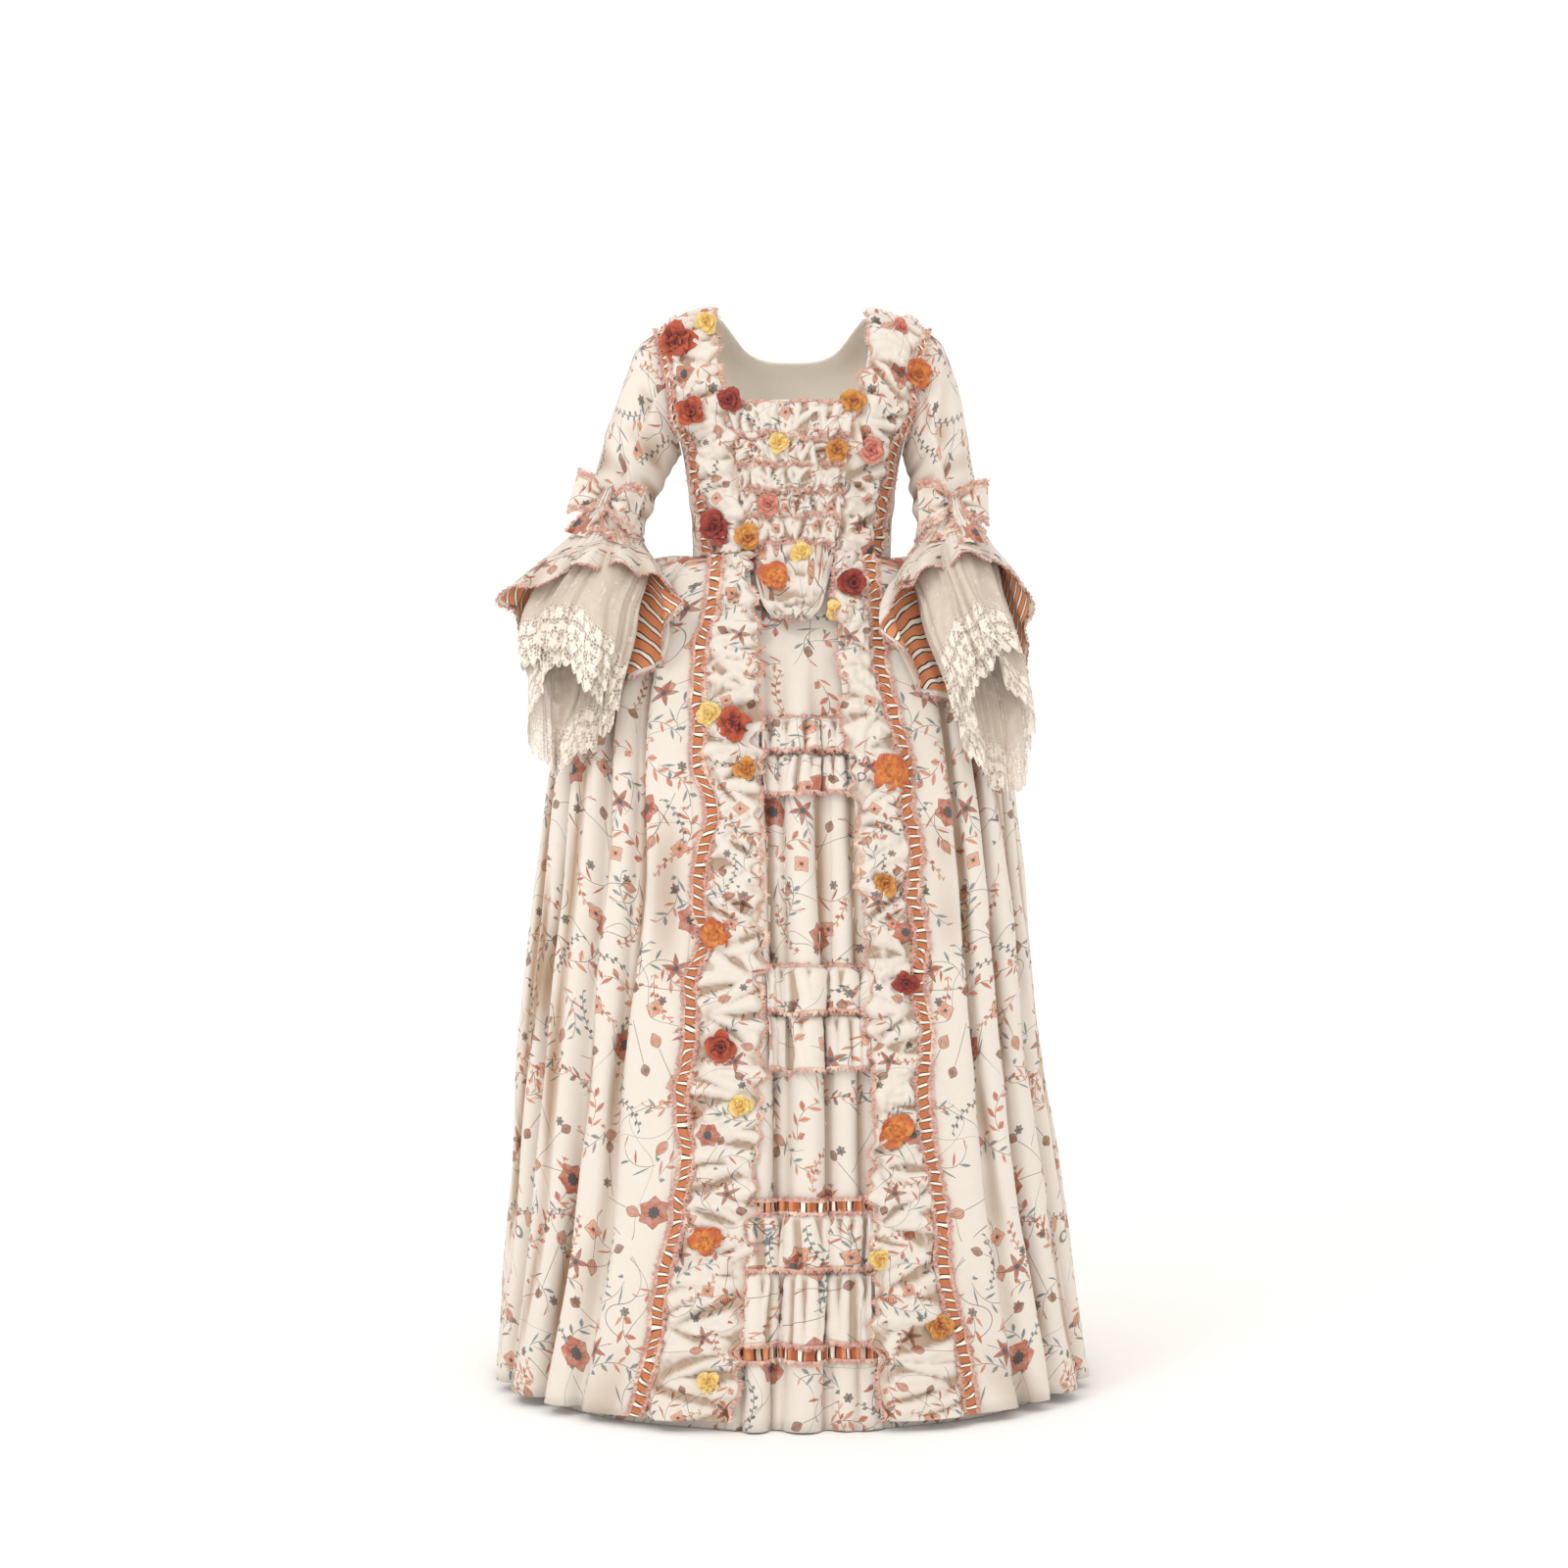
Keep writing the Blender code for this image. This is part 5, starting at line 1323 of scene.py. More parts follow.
def fraySides(grid, outs, name, side):
    # frays both long edges of a strip whose rows run across it
    for near, far in ((0, 1), (-1, -2)):
        addFray(name, grid[:, near], grid[:, near] - grid[:, far] + outs[:, near] * 0.0006, outs[:, near], side)


# the ruched strips and the pleated ribbons down both fronts

robing = {
    "columns": (0, 2.97),
    "pitch": 0.074,
    "fans": 4,
    "spread": 0.0165,
    "tubeWidth": (0.0035, 0.0105),
    "tubeHeight": (0.0030, 0.0135),
    "pull": 0.0060,
    "flare": 0.0050,
    "fullness": (1.25, 1.35),
    "step": 0.0026,
    "across": 29,
    "lift": 0.0014,
}

ribbon = {
    "columns": (3.10, 3.96),
    "pleat": 0.0040,
    "pitch": 0.0130,
    "uneven": 0.0022,
    "wobble": 0.0016,
    "tilt": 0.5,
    "step": 0.0013,
    "across": 4,
    "lift": 0.0014,
}

# how far the ribbon wanders from its straight run, towards the middle, at each height
sway = {
    "height": [0.0, 0.10, 0.17, 0.25, 0.33, 0.40, 0.47, 0.53, 0.58, 0.64, 0.70, 0.745, 0.80, 0.86, 0.93, 1.00, 1.07,
               1.12, 1.20, 1.40],
    "right": [0.0, 0.002, -0.004, 0.003, 0.006, -0.004, 0.003, -0.004, 0.010, -0.003, 0.006, 0.016, 0.001, 0.003,
              -0.003, 0.003, 0.0, 0.001, 0.0, 0.0],
    "left": [0.0, -0.003, 0.003, -0.004, 0.004, 0.006, -0.003, 0.005, -0.003, 0.006, -0.004, 0.003, -0.004, 0.004,
             0.008, -0.003, 0.0, 0.002, -0.001, 0.0],
}

strips = {"ends": (0.06, 0.02), "smoothing": 15, "samples": 400}


def evenRows(panel, column, start, end, step):
    # rows of a panel that lie evenly along one of its columns
    rows = np.linspace(start, end, strips["samples"])
    length = runLength(onGrid(panel, rows, np.full(len(rows), float(column))))
    at = np.linspace(0, length[-1], max(2, int(length[-1] / step)))
    return np.interp(at, length, rows)


def stripBase(panel, start, end, columns, step):
    # where a strip is sewn down a panel: its points and its outward directions, smoothed along it
    rows = evenRows(panel, np.mean(columns), start, end, step)
    where = np.meshgrid(rows, columns, indexing="ij")
    base, outs = onGrid(panel, *where), onGrid(normalsOf(panel), *where)
    count = strips["smoothing"]
    weights = np.hanning(count) / np.hanning(count).sum()
    padded = np.concatenate([outs[:1]] * (count // 2) + [outs] + [outs[-1:]] * (count // 2))
    return base, unit(sum(weights[k] * padded[k:k + len(base)] for k in range(count)))


def sewnDown(word, plan, count):
    # the base of a strip that runs down the bodice front and on down the skirt
    share = np.linspace(*plan["columns"], count)
    front, lower = panels["bodice_front_" + word], panels["skirt_" + word]
    (frontDown, frontAcross), (skirtDown, skirtAcross) = fine["bodice"], fine["skirt"]
    top, foot = strips["ends"]
    end = front.shape[0] - 1 - foot * frontDown
    upper = stripBase(front, top * frontDown, end, share * frontAcross, plan["step"])
    under = stripBase(lower, top * skirtDown, lower.shape[0] - 1.0, share * skirtAcross, plan["step"])
    return tuple(np.concatenate(pair) for pair in zip(upper, under))


def swayed(points, word, strength):
    # moves a strip sideways along its panel
    toMiddle = unit(points[:, :1] - points[:, -1:])
    amount = smoothCurve(sway["height"], sway[word], points[:, points.shape[1] // 2, 2])
    return points + toMiddle * (amount[:, None] * strength)[..., None]


def ruche(along, across, width, plan, seed):
    # Cloth pinched at places on both edges by turns. From each pinch a fan of rounded folds opens towards the
    # other edge, where they flare. It returns the height of the cloth, the painted shade in its hollows, and how
    # far its edges are drawn in.
    picks = np.random.default_rng(seed)
    v = across * width
    height, drawn = np.zeros(along.shape), np.zeros(along.shape)
    lowWidth, highWidth = plan["tubeWidth"]
    lowTube, highTube = plan["tubeHeight"]
    for k in range(int(float(along.max()) / plan["pitch"] * 2) + 4):
        spot = (k - 1 + picks.uniform(-0.22, 0.22)) * plan["pitch"] / 2
        edge, inward = (0, 1) if k % 2 == 0 else (1, -1)
        start = edge + inward * (0.06 + picks.uniform(0, 0.14))
        drawn += np.exp(-(((along - spot) / 0.011) ** 2)) * np.where((across > 0.5) == (edge == 1), 1, 0)
        fans = plan["fans"] + picks.integers(-1, 2)
        for i in range(fans):
            lean = (i - (fans - 1) / 2) * plan["spread"] + picks.normal(0, 0.006)
            end = edge + inward * (1.02 + picks.uniform(-0.30, 0.02))
            reachS, reachV = lean + picks.normal(0, 0.003), (end - start) * width
            far = np.hypot(reachS, reachV)
            ds, dv = along - spot, v - start * width
            u = (ds * reachS + dv * reachV) / far**2
            off = (ds * reachV - dv * reachS) / far + picks.normal(0, 0.005) * 4 * u * (1 - u)
            kept = np.clip(u, 0, 1)
            half = lowWidth + (highWidth * picks.uniform(0.75, 1.2) - lowWidth) * kept
            tall = lowTube + (highTube * picks.uniform(0.55, 1.1) - lowTube) * kept**0.7
            ends = smoothStep(-0.08, 0.06, u) * (1 - smoothStep(0.96, 1.12, u) * 0.7)
            height = np.maximum(height, tall * ends * np.clip(1 - (off / half) ** 2, 0, 1) ** 0.55)
    height = height + 0.0007 * ripple(along, v, 0.013, seed + 1, 9)
    height = height * (0.45 + 0.55 * np.clip(4.6 * across * (1 - across), 0, 1) ** 0.5)
    # painted shade: full in the low places between the folds
    paintedShade = np.clip(1 - height / (0.42 * highTube), 0, 1) ** 1.5 * 0.85
    return np.maximum(height, 0.0003), paintedShade, np.clip(drawn, 0, 1)


def makeRobing(word, side):
    count = robing["across"]
    points, outs = sewnDown(word, robing, count)
    across = np.linspace(0, 1, count)[None, :] * np.ones((len(points), 1))
    points = swayed(points, word, np.clip((across - 0.25) / 0.75, 0, 1) ** 1.5)
    along = runLength(points[:, count // 2])[:, None] * np.ones_like(across)
    width = np.linalg.norm(points[:, -1] - points[:, 0], axis=-1)[:, None]
    height, paintedShade, drawn = ruche(along, across, width, robing, 40 + side)
    sideways = unit(points[:, -1:] - points[:, :1])
    flare = robing["flare"] * (0.3 + ripple(along, along * 0, 0.030, 60 + side, 5)) - robing["pull"] * drawn
    towards = np.where(across < 0.5, -1, 0.35) * np.abs(2 * across - 1) ** 3
    surface = points + outs * (robing["lift"] + height)[..., None] + sideways * (flare * towards)[..., None]
    fullAcross, fullAlong = robing["fullness"]
    cloth = np.stack([(across - 0.5) * width * fullAcross, -along * fullAlong], axis=-1)
    makeCloth("robing_" + word, surface, "printed", "gathered", ["bodice_front_" + word, "skirt_" + word], side,
              wall=0.0006, uv=cloth, shade=paintedShade)
    fraySides(surface, outs, "fray_" + word, side)


def makeRibbon(word, side):
    count = ribbon["across"] + 1
    points, outs = sewnDown(word, ribbon, count)
    points = swayed(points, word, 1.0)
    along = runLength(points[:, count // 2])[:, None] * np.ones((1, count))

    def uneven(length, seed, waves):
        return ripple(along, along * 0, length, seed + side, waves)

    pleated = along + ribbon["uneven"] * uneven(0.045, 74, 4)
    turn = (pleated / ribbon["pitch"] + 0.5) * 2 * math.pi
    height = ribbon["pleat"] * (0.5 + 0.5 * np.tanh(1.8 * np.cos(turn + 0.8 * np.sin(turn))))
    height = height * (0.85 + 0.25 * uneven(0.05, 70, 3))
    surface = points + outs * (ribbon["lift"] + np.maximum(height, 0.0002))[..., None]
    sideways = unit(points[:, -1:] - points[:, :1])
    surface = surface + sideways * (ribbon["wobble"] * uneven(0.022, 78, 4))[..., None]
    flat = np.linspace(-0.5, 0.5, count)[None, :] * bodiceFront["ribbonWidth"]
    tilt = flat * ribbon["tilt"] * uneven(0.05, 84, 4)
    cloth = np.stack([flat * np.ones_like(along), -pleated * stripes["pitch"] / ribbon["pitch"] + tilt], axis=-1)
    # painted shade in the hollows of the pleats
    makeCloth("ribbon_" + word, surface, "ribbon", "gathered", ["bodice_front_" + word, "skirt_" + word], side,
              wall=0.0005, uv=cloth, shade=np.clip(0.5 - height / ribbon["pleat"] * 1.4, 0, 1))
    fraySides(surface, outs, "fray_" + word, side)


for word, side in sides.items():
    makeRobing(word, side)
    makeRibbon(word, side)
print("ruched strips and ribbons made")


# the gathered bands across the stomacher and the petticoat

bands = {
    "heights": {
        "petticoat_flounce_1_upper": (0.853, 0.809), "petticoat_flounce_1_lower": (0.806, 0.753),
        "petticoat_flounce_2_upper": (0.547, 0.493), "petticoat_flounce_2_lower": (0.490, 0.425),
        "petticoat_flounce_3_upper": (0.254, 0.190), "petticoat_flounce_3_lower": (0.188, 0.114),
    },
    "ribbons": {"petticoat_heading": (0.269, 0.256), "petticoat_foot_ribbon": (0.112, 0.098)},
    "foldHalfWidths": [0.0045, 0.0060, 0.0085, 0.0125],
    "broadFold": 0.008,
    "puff": 0.0100,
    "inset": 0.001,
    "lift": 0.0013,
    "across": 170,
    "lines": 17,
    "ribbonLines": 6,
}


def bandGrid(panel, drops, timesDown, top, bottom, columns, lines):
    # rows and columns of a panel under a band, and how far down and across the band each place is
    rows = np.interp([-top, -bottom], -np.array(drops), np.arange(len(drops))) * timesDown
    where = np.meshgrid(np.linspace(*rows, lines), columns, indexing="ij")
    down, across = np.meshgrid(np.linspace(0, 1, lines), np.linspace(0, 1, len(columns)), indexing="ij")
    return where, down, across


def bandOn(panel, where, rise, sag, around=False):
    # the surface of a band on a panel, whose rows here run along the band
    outs = unit(onGrid(normalsOf(panel, around), *where))
    surface = onGrid(panel, *where) + outs * rise[..., None]
    surface[..., 2] -= sag
    return surface, outs


def gathered(wide, down, puff, seed):
    # Cloth gathered along its top: uneven upright folds, some narrow and some broad and flat, that widen
    # downwards and leave hollows between them
    picks = np.random.default_rng(seed)
    rise = np.zeros(wide.shape)
    at = -0.01
    while at < float(wide.max()) + 0.01:
        half = picks.choice(bands["foldHalfWidths"]) * picks.uniform(0.85, 1.15)
        at += half * 0.92
        middle = at + picks.normal(0, 0.004) * down
        spread = half * (0.62 + 0.50 * down)
        tall = puff * picks.uniform(0.6, 1.15)
        flat = 0.38 if half > bands["broadFold"] else 0.6
        rise = np.maximum(rise, tall * np.clip(1 - ((wide - middle) / spread) ** 2, 0, 1) ** flat)
        at += half * picks.uniform(0.75, 1.1)
    rise = rise * np.clip(down / 0.13, 0.12, 1) ** 0.6
    # painted shade in the hollows between the folds, none at the very top
    paintedShade = 0.75 * np.clip(1 - rise / (0.45 * puff), 0, 1) * smoothStep(0.02, 0.14, down)
    rise = rise + 0.0006 * ripple(wide, down * 0.05, 0.012, seed + 20)
    waves = -0.0030 * (rise / puff) * down + 0.0015 * ripple(wide, wide * 0, 0.05, seed + 30, 3) * down
    return rise, paintedShade, waves


def frayEnds(surface, outs):
    # frays the top and the bottom of a band
    for row, inner in ((0, 1), (-1, -2)):
        addFray("fray_middle", surface[row], surface[row] - surface[inner], outs[row])


def makeStomacherBand(i, top, bottom, isLast):
    name = "stomacher_band_" + str(i + 1)
    panel = panels["stomacher"]
    columns = np.linspace(0, panel.shape[1] - 1, stomacher["bandColumns"])
    where, down, across = bandGrid(panel, stomacher["height"], fine["stomacher"][0], top, bottom, columns,
                                   stomacher["bandLines"])
    plan = dict(robing, **stomacher["ruche"])
    width = top - bottom
    if isLast:
        plan.update(stomacher["lastRuche"])
        rise, paintedShade, _ = ruche(down * width, across, stomacher["tongueWidth"], plan, 80 + i)
        # less painted shade near the tongue's two sides
        paintedShade = paintedShade * np.sin(math.pi * across) ** 0.6
    else:
        rise, paintedShade, _ = ruche(across * stomacher["bandLength"], down, width, plan, 80 + i)
    waves = stomacher["swag"] * np.abs(np.sin(across * math.pi * (3.5 - 0.3 * i) + i))
    waves = waves + 0.002 * ripple(across * stomacher["bandLength"], across * 0, 0.03, 90 + i, 3)
    surface, outs = bandOn(panel, where, stomacher["lift"] + rise, waves * (0.5 + 0.5 * down))
    cloth = np.stack([across * 0.20 + 0.31 * i, -down * 0.055 + 0.17 * i], axis=-1)
    makeCloth(name, surface, "printed", "gathered", ["stomacher"], wall=0.0006, uv=cloth, shade=paintedShade)
    frayEnds(surface, outs)
    if not isLast:
        addFray("fray_middle", surface[-5], surface[-1] - surface[-2], outs[-5])


def makePetticoatBand(i, name, top, bottom):
    isRibbon = name in bands["ribbons"]
    start, end = -openingAt("right", top)[0] - bands["inset"], openingAt("left", top)[0] + bands["inset"]
    low, high = petticoat["shown"]
    columns = [(x - low) / (high - low) * 14 * fine["petticoat"][1] for x in (start, end)]
    columns = np.linspace(*columns, bands["across"])
    where, down, across = bandGrid(panels["petticoat"], petticoat["height"], fine["petticoat"][0], top, bottom,
                                   columns, bands["ribbonLines" if isRibbon else "lines"])
    wide = across * (end - start)
    if isRibbon:
        rise = ribbon["pleat"] * (0.5 + 0.5 * np.tanh(2.4 * np.cos(wide / ribbon["pitch"] * 2 * math.pi)))
        # painted shade in the valleys of the pleats
        paintedShade = 1 - rise / ribbon["pleat"]
        waves = 0.0008 * np.sin(wide * 90)
        cloth = np.stack([down * (top - bottom), wide], axis=-1)
    else:
        rise, paintedShade, waves = gathered(wide, down, bands["puff"], 100 + i)
        cloth = np.stack([wide * 1.5 + 0.4 * i, -down * (top - bottom) * 1.05 + 0.23 * i], axis=-1)
    rise = bands["lift"] + np.maximum(rise, 0.0002)
    surface, outs = bandOn(panels["petticoat"], where, rise, waves, around=True)
    finish = "ribbon" if isRibbon else "printed"
    makeCloth(name, surface, finish, "gathered", ["petticoat"], wall=0.0005, uv=cloth, shade=paintedShade)
    frayEnds(surface, outs)


edges = stomacher["bands"]
for i, (top, bottom) in enumerate(zip(edges, edges[1:])):
    makeStomacherBand(i, top, bottom, i == len(edges) - 2)
for i, (name, (top, bottom)) in enumerate({**bands["heights"], **bands["ribbons"]}.items()):
    makePetticoatBand(i, name, top, bottom)
print("bands made")


# the sleeve flounces with their striped lining, and two tiers of lace inside each

flounce = {
    "columns": 192,
    "rows": 30,
    # how many waves go round the edge, how deep and from where
    "waves": [(7, 0.0085, 0.6), (11, 0.0050, 2.1), (19, 0.0022, 4.0)],
    "liningGap": 0.0016,
    "gathers": 0.0022,
    "gatherCount": 38,
    "lip": 0.012,
    # single folds over the arm: the place round it, their half width, how far they stand out
    "folds": {
        "right": [(0.34, 0.13, -0.010), (0.02, 0.15, 0.007), (0.68, 0.17, 0.009), (5.10, 0.20, 0.008),
                  (4.72, 0.16, -0.008)],
        "left": [(6.02, 0.16, -0.008), (5.62, 0.20, 0.009), (0.40, 0.18, 0.007), (1.15, 0.20, 0.010),
                 (0.78, 0.14, -0.009)],
    },
}

laceTiers = {
    "upper": {"rows": 24, "tuck": 0.63, "ahead": 0.86, "gathers": 13, "depth": 0.0058, "start": 0.9,
              "inset": 0.003},
    "lower": {"rows": 28, "tuck": 0.62, "ahead": 0.84, "gathers": 12, "depth": 0.0062, "start": 0.0,
              "inset": 0.009},
}
laceColumns = flounce["columns"] + 40
laceShift = 0.014  # how far the lace hangs outside the middle of the flounce
laceFullness = 1.15


def frillGrid(word, columns, rows, edge, tuck=1.0, ahead=1.0):
    # hangs from the sleeve's end to its own fall at each place round it, drawn in towards the arm by the tuck
    angles = np.linspace(0, 2 * math.pi, columns, endpoint=False)
    share = np.linspace(0, 1, rows)[:, None]
    falls = share * frillFalls(word, np.degrees(angles))[edge][None, :]
    lines = []
    for fall in falls:
        free = smoothStep(0.0, 0.10, fall)
        line = frillLine(word, angles, fall, 1 + (tuck - 1) * free, 1 + (ahead - 1) * free)
        lines.append(pushOffSkirt(line, word))
    return np.array(lines), angles[None, :], share, falls


def levelOut(grid):
    out = normalsOf(grid, True)
    out[..., 2] = 0
    return unit(out)


def edgeUv(grid, fullness):
    # along the edge, and up from it
    wide = closed(grid)
    along, down = runLength(wide[-1]) * fullness, runLength(wide)
    return np.stack([along[None, :] * np.ones((len(grid), 1)), down[-1:] - down], axis=-1)


def makeCuff(word, side):
    grid, angles, share, _ = frillGrid(word, flounce["columns"], flounce["rows"], "cuff")
    turned = 0.7 * side
    wave = sum(deep * np.sin(count * angles + start + turned) for count, deep, start in flounce["waves"])
    front = 0.5 + 0.5 * np.cos(angles - 0.5)
    wave = wave * share**1.3 * (0.55 + 0.45 * (1 - front))
    gathers = np.sin(flounce["gatherCount"] * angles + 2 * np.sin(5 * angles)) * np.exp(-share * 5)
    gathers = flounce["gathers"] * gathers * smoothStep(0, 0.06, share)
    lift = wave + gathers + flounce["lip"] * np.exp(-((angles - 0.55) / 0.8) ** 2) * share**2
    for middle, half, out in flounce["folds"][word]:
        off = np.abs((angles - middle + math.pi) % (2 * math.pi) - math.pi)
        lift = lift + out * np.exp(-((off / half) ** 2)) * smoothStep(0.05, 0.8, share)
    surface = grid + levelOut(grid) * lift[..., None]
    surface[..., 2] += 0.006 * share**2 * np.sin(9 * angles + turned) * (0.4 + 0.6 * front)
    # painted shade in the wave troughs and between the gathers
    paintedShade = np.clip(-(wave / 0.012) + 0.15, 0, 1) * share + np.clip(-gathers / flounce["gathers"], 0, 1) * 0.6
    makeCloth("cuff_" + word, surface, "printed", "gathered", ["sleeve_" + word], side, around=True, wall=0.0007,
              shade=np.clip(paintedShade, 0, 1))
    inner = (surface - normalsOf(surface, True) * flounce["liningGap"])[:-1]
    # the lining gets painted shade, darkest up inside the flounce near the sleeve
    makeCloth("cuff_lining_" + word, inner, "lining", "gathered", ["cuff_" + word], side, around=True,
              wall=0.0006, shade=np.clip(1 - share[:-1] * 1.6 + 0 * angles, 0, 1))
    outs, edge = closed(normalsOf(surface, True)), closed(surface)
    addFray("fray_" + word, edge[-1], edge[-1] - edge[-2], outs[-1], side)
    addFray("fray_" + word, edge[1] + outs[1] * 0.001, edge[0] - edge[2] + outs[1] * 0.004, outs[1], side)


def makeLace(word, side, tier):
    plan = laceTiers[tier]
    grid, angles, share, falls = frillGrid(word, laceColumns, plan["rows"], tier, plan["tuck"], plan["ahead"])
    phase = plan["gathers"] * angles + 3.0 * np.sin(4 * angles + side) + plan["start"]
    phase = phase + 1.1 * np.sin(3 * angles + 4 * share)
    uneven = 0.65 + 0.35 * np.sin(5 * angles + 3 * share + side)
    gathers = plan["depth"] * (np.sin(phase) * uneven + 0.35 * np.sin(2.3 * phase + 5 * share))
    gathers = gathers * (0.25 + 0.75 * share) * smoothStep(0, 0.08, share)
    broad = 0.006 * np.sin(6 * angles + 1.3 * side + share * 1.5) * share
    surface = grid + levelOut(grid) * (gathers + broad)[..., None]
    surface = surface - levelOut(grid) * plan["inset"]
    surface[..., 0] += laceShift * smoothStep(0.02, 0.12, falls)
    surface[..., 2] += 0.004 * np.sin(9 * angles + 2 * side) * share**3
    # the lace's painted shade lies in the troughs of its gathers
    makeCloth("lace_" + tier + "_" + word, surface, "lace", "gathered", ["sleeve_" + word], side, around=True,
              wall=0.0004, uv=edgeUv(surface, laceFullness), shade=np.clip(-gathers / plan["depth"] * 0.6, 0, 1))


for word, side in sides.items():
    makeCuff(word, side)
    for tier in laceTiers:
        makeLace(word, side, tier)
print("flounces and lace made")


# what later pieces rest on: a search by ray over the made pieces, from the front


def worldTree(names):
    points, faces, start = [], [], 0
    for name in names:
        mesh = piecesMade[name + "_cloth"].data
        points.extend(tuple(vertex.co) for vertex in mesh.vertices)
        faces.extend(tuple(i + start for i in face.vertices) for face in mesh.polygons)
        start = len(points)
    return BVHTree.FromPolygons(points, faces)


def frontOf(tree, x, z):
    # the front of what is there at a place seen from the front, and which way it faces
    place, normal, _, _ = tree.ray_cast(Vector((x, -1.0, z)), Vector((0, 1, 0)))
    return place, normal


# the bows on the sleeves

bows = {
    "left": {"x": 0.206, "height": 1.134, "tilt": 2.0},
    "right": {"x": 0.238, "height": 1.138, "tilt": 17.0},
    "reach": 0.045,
    "bend": 0.013,
    "standOff": 0.0074,
    "clear": 0.0062,
    # how far out each column of the loops lies, first along their front and then back along their back
    "shares": [-1, -0.85, -0.55, -0.25, 0, 0.25, 0.55, 0.85, 1, 0.8, 0.5, 0.2, 0, -0.2, -0.5, -0.8],
    "lastFront": 8,
    "knotHalf": 0.005,
    "loopHalf": 0.0215,
    "frontBulge": (0.0019, 0.010),
    "backBulge": (0.0019, 0.003),
    "crease": 0.0022,
    "loopsFine": (4, 8),
    "tieFine": (8, 4),
    # the tie's path: across, up, depth off the loops or None to lie on the sleeve, half width
    "tie": [
        (-0.030, -0.050, None, 0.011), (-0.020, -0.036, None, 0.010), (-0.010, -0.020, None, 0.008),
        (-0.003, -0.009, None, 0.005), (0.000, 0.003, 0.0050, 0.0035), (0.000, 0.0095, 0.0034, 0.0040),
        (0.000, 0.0112, -0.0010, 0.0045), (0.000, 0.0090, -0.0060, 0.0050), (0.001, 0.0000, -0.0078, 0.0055),
        (0.003, -0.0110, -0.0092, 0.0060), (0.009, -0.0260, None, 0.009), (0.016, -0.0400, None, 0.011),
        (0.022, -0.0550, None, 0.012),
    ],
    # its first tail goes behind: how far each tail is off the sleeve and off the middle of the loops
    "behind": (0.0022, 0.0052),
    "ahead": (0.0040, -0.0085),
}


def bowSpot(plan, across, up):
    # where a point of a bow is when the bow is tilted, as x and height
    tilt = math.radians(plan["tilt"])
    x = plan["x"] + across * math.cos(tilt) - up * math.sin(tilt)
    return x, plan["height"] + across * math.sin(tilt) + up * math.cos(tilt)


def restOn(tree, side, x, height):
    place, _ = frontOf(tree, side * x, height - shoulderHeight)
    return None if place is None else place.y


def makeLoops(word, side, tree, y):
    plan = bows[word]
    share = np.array(bows["shares"], float)
    last = bows["lastFront"]
    bulge = np.sin(math.pi * np.abs(share)) ** 1.6
    (front, frontMore), (back, backMore) = bows["frontBulge"], bows["backBulge"]
    depth = np.where(np.arange(len(share)) > last, back + backMore * bulge, -front - frontMore * bulge)
    depth[0] = depth[last] = -0.002
    halfWidth = np.sin(np.minimum(np.abs(share), 0.75) * math.pi / 1.5) ** 1.5
    halfWidth = (bows["knotHalf"] + bows["loopHalf"] * halfWidth) * np.where(share < 0, 1.06, 0.94)
    rows = []
    for across in np.linspace(1, -1, 7):
        x, height = bowSpot(plan, bows["reach"] * share, halfWidth * across)
        bend = y + bows["bend"] * share**2
        seen = [restOn(tree, side, a, b) for a, b in zip(x, height)]
        rest = np.array([b if s is None else min(b, s - bows["clear"]) for b, s in zip(bend, seen)])
        rows.append(stack(x, rest + depth, height))
    timesAcross, timesAlong = bows["loopsFine"]
    grid = refine(np.array(rows), timesAcross, timesAlong, around=True)
    column = np.arange(grid.shape[1]) / timesAlong
    reach = np.abs(np.interp(column, np.arange(len(share) + 1), np.append(share, share[0])))[None, :]
    up = np.linspace(-1, 1, grid.shape[0])[:, None]
    fan = np.cos(up * 7.5 + 1.2 * side) * np.exp(-((reach - 0.28) / 0.33) ** 2)
    fan = fan + 0.5 * np.cos(up * 13) * np.exp(-reach * 4)
    crease = bows["crease"] * fan * np.where(column > last, 0.3, 1.0)[None, :]
    outs = normalsOf(grid, True)
    grid = grid + outs * crease[..., None]
    grid[..., 2] += 0.0016 * np.sin(reach * 9 + up * 2) * np.abs(up) ** 3
    # painted shade in the loops' creases
    makeCloth("bow_loops_" + word, grid, "printed", "gathered", ["sleeve_" + word], side, around=True,
              wall=0.0006, shade=np.clip(-fan * 0.8, 0, 1))
    half = slice(0, last * timesAlong + 1)
    for edge, inner, inside in ((0, 2, 3), (-1, -3, -4)):
        outward = grid[edge, half] - grid[inner, half]
        addFray("fray_" + word, grid[edge, half], outward, outs[edge, half], side)
        addFray("fray_" + word, grid[inside, half], outward, outs[inside, half], side)


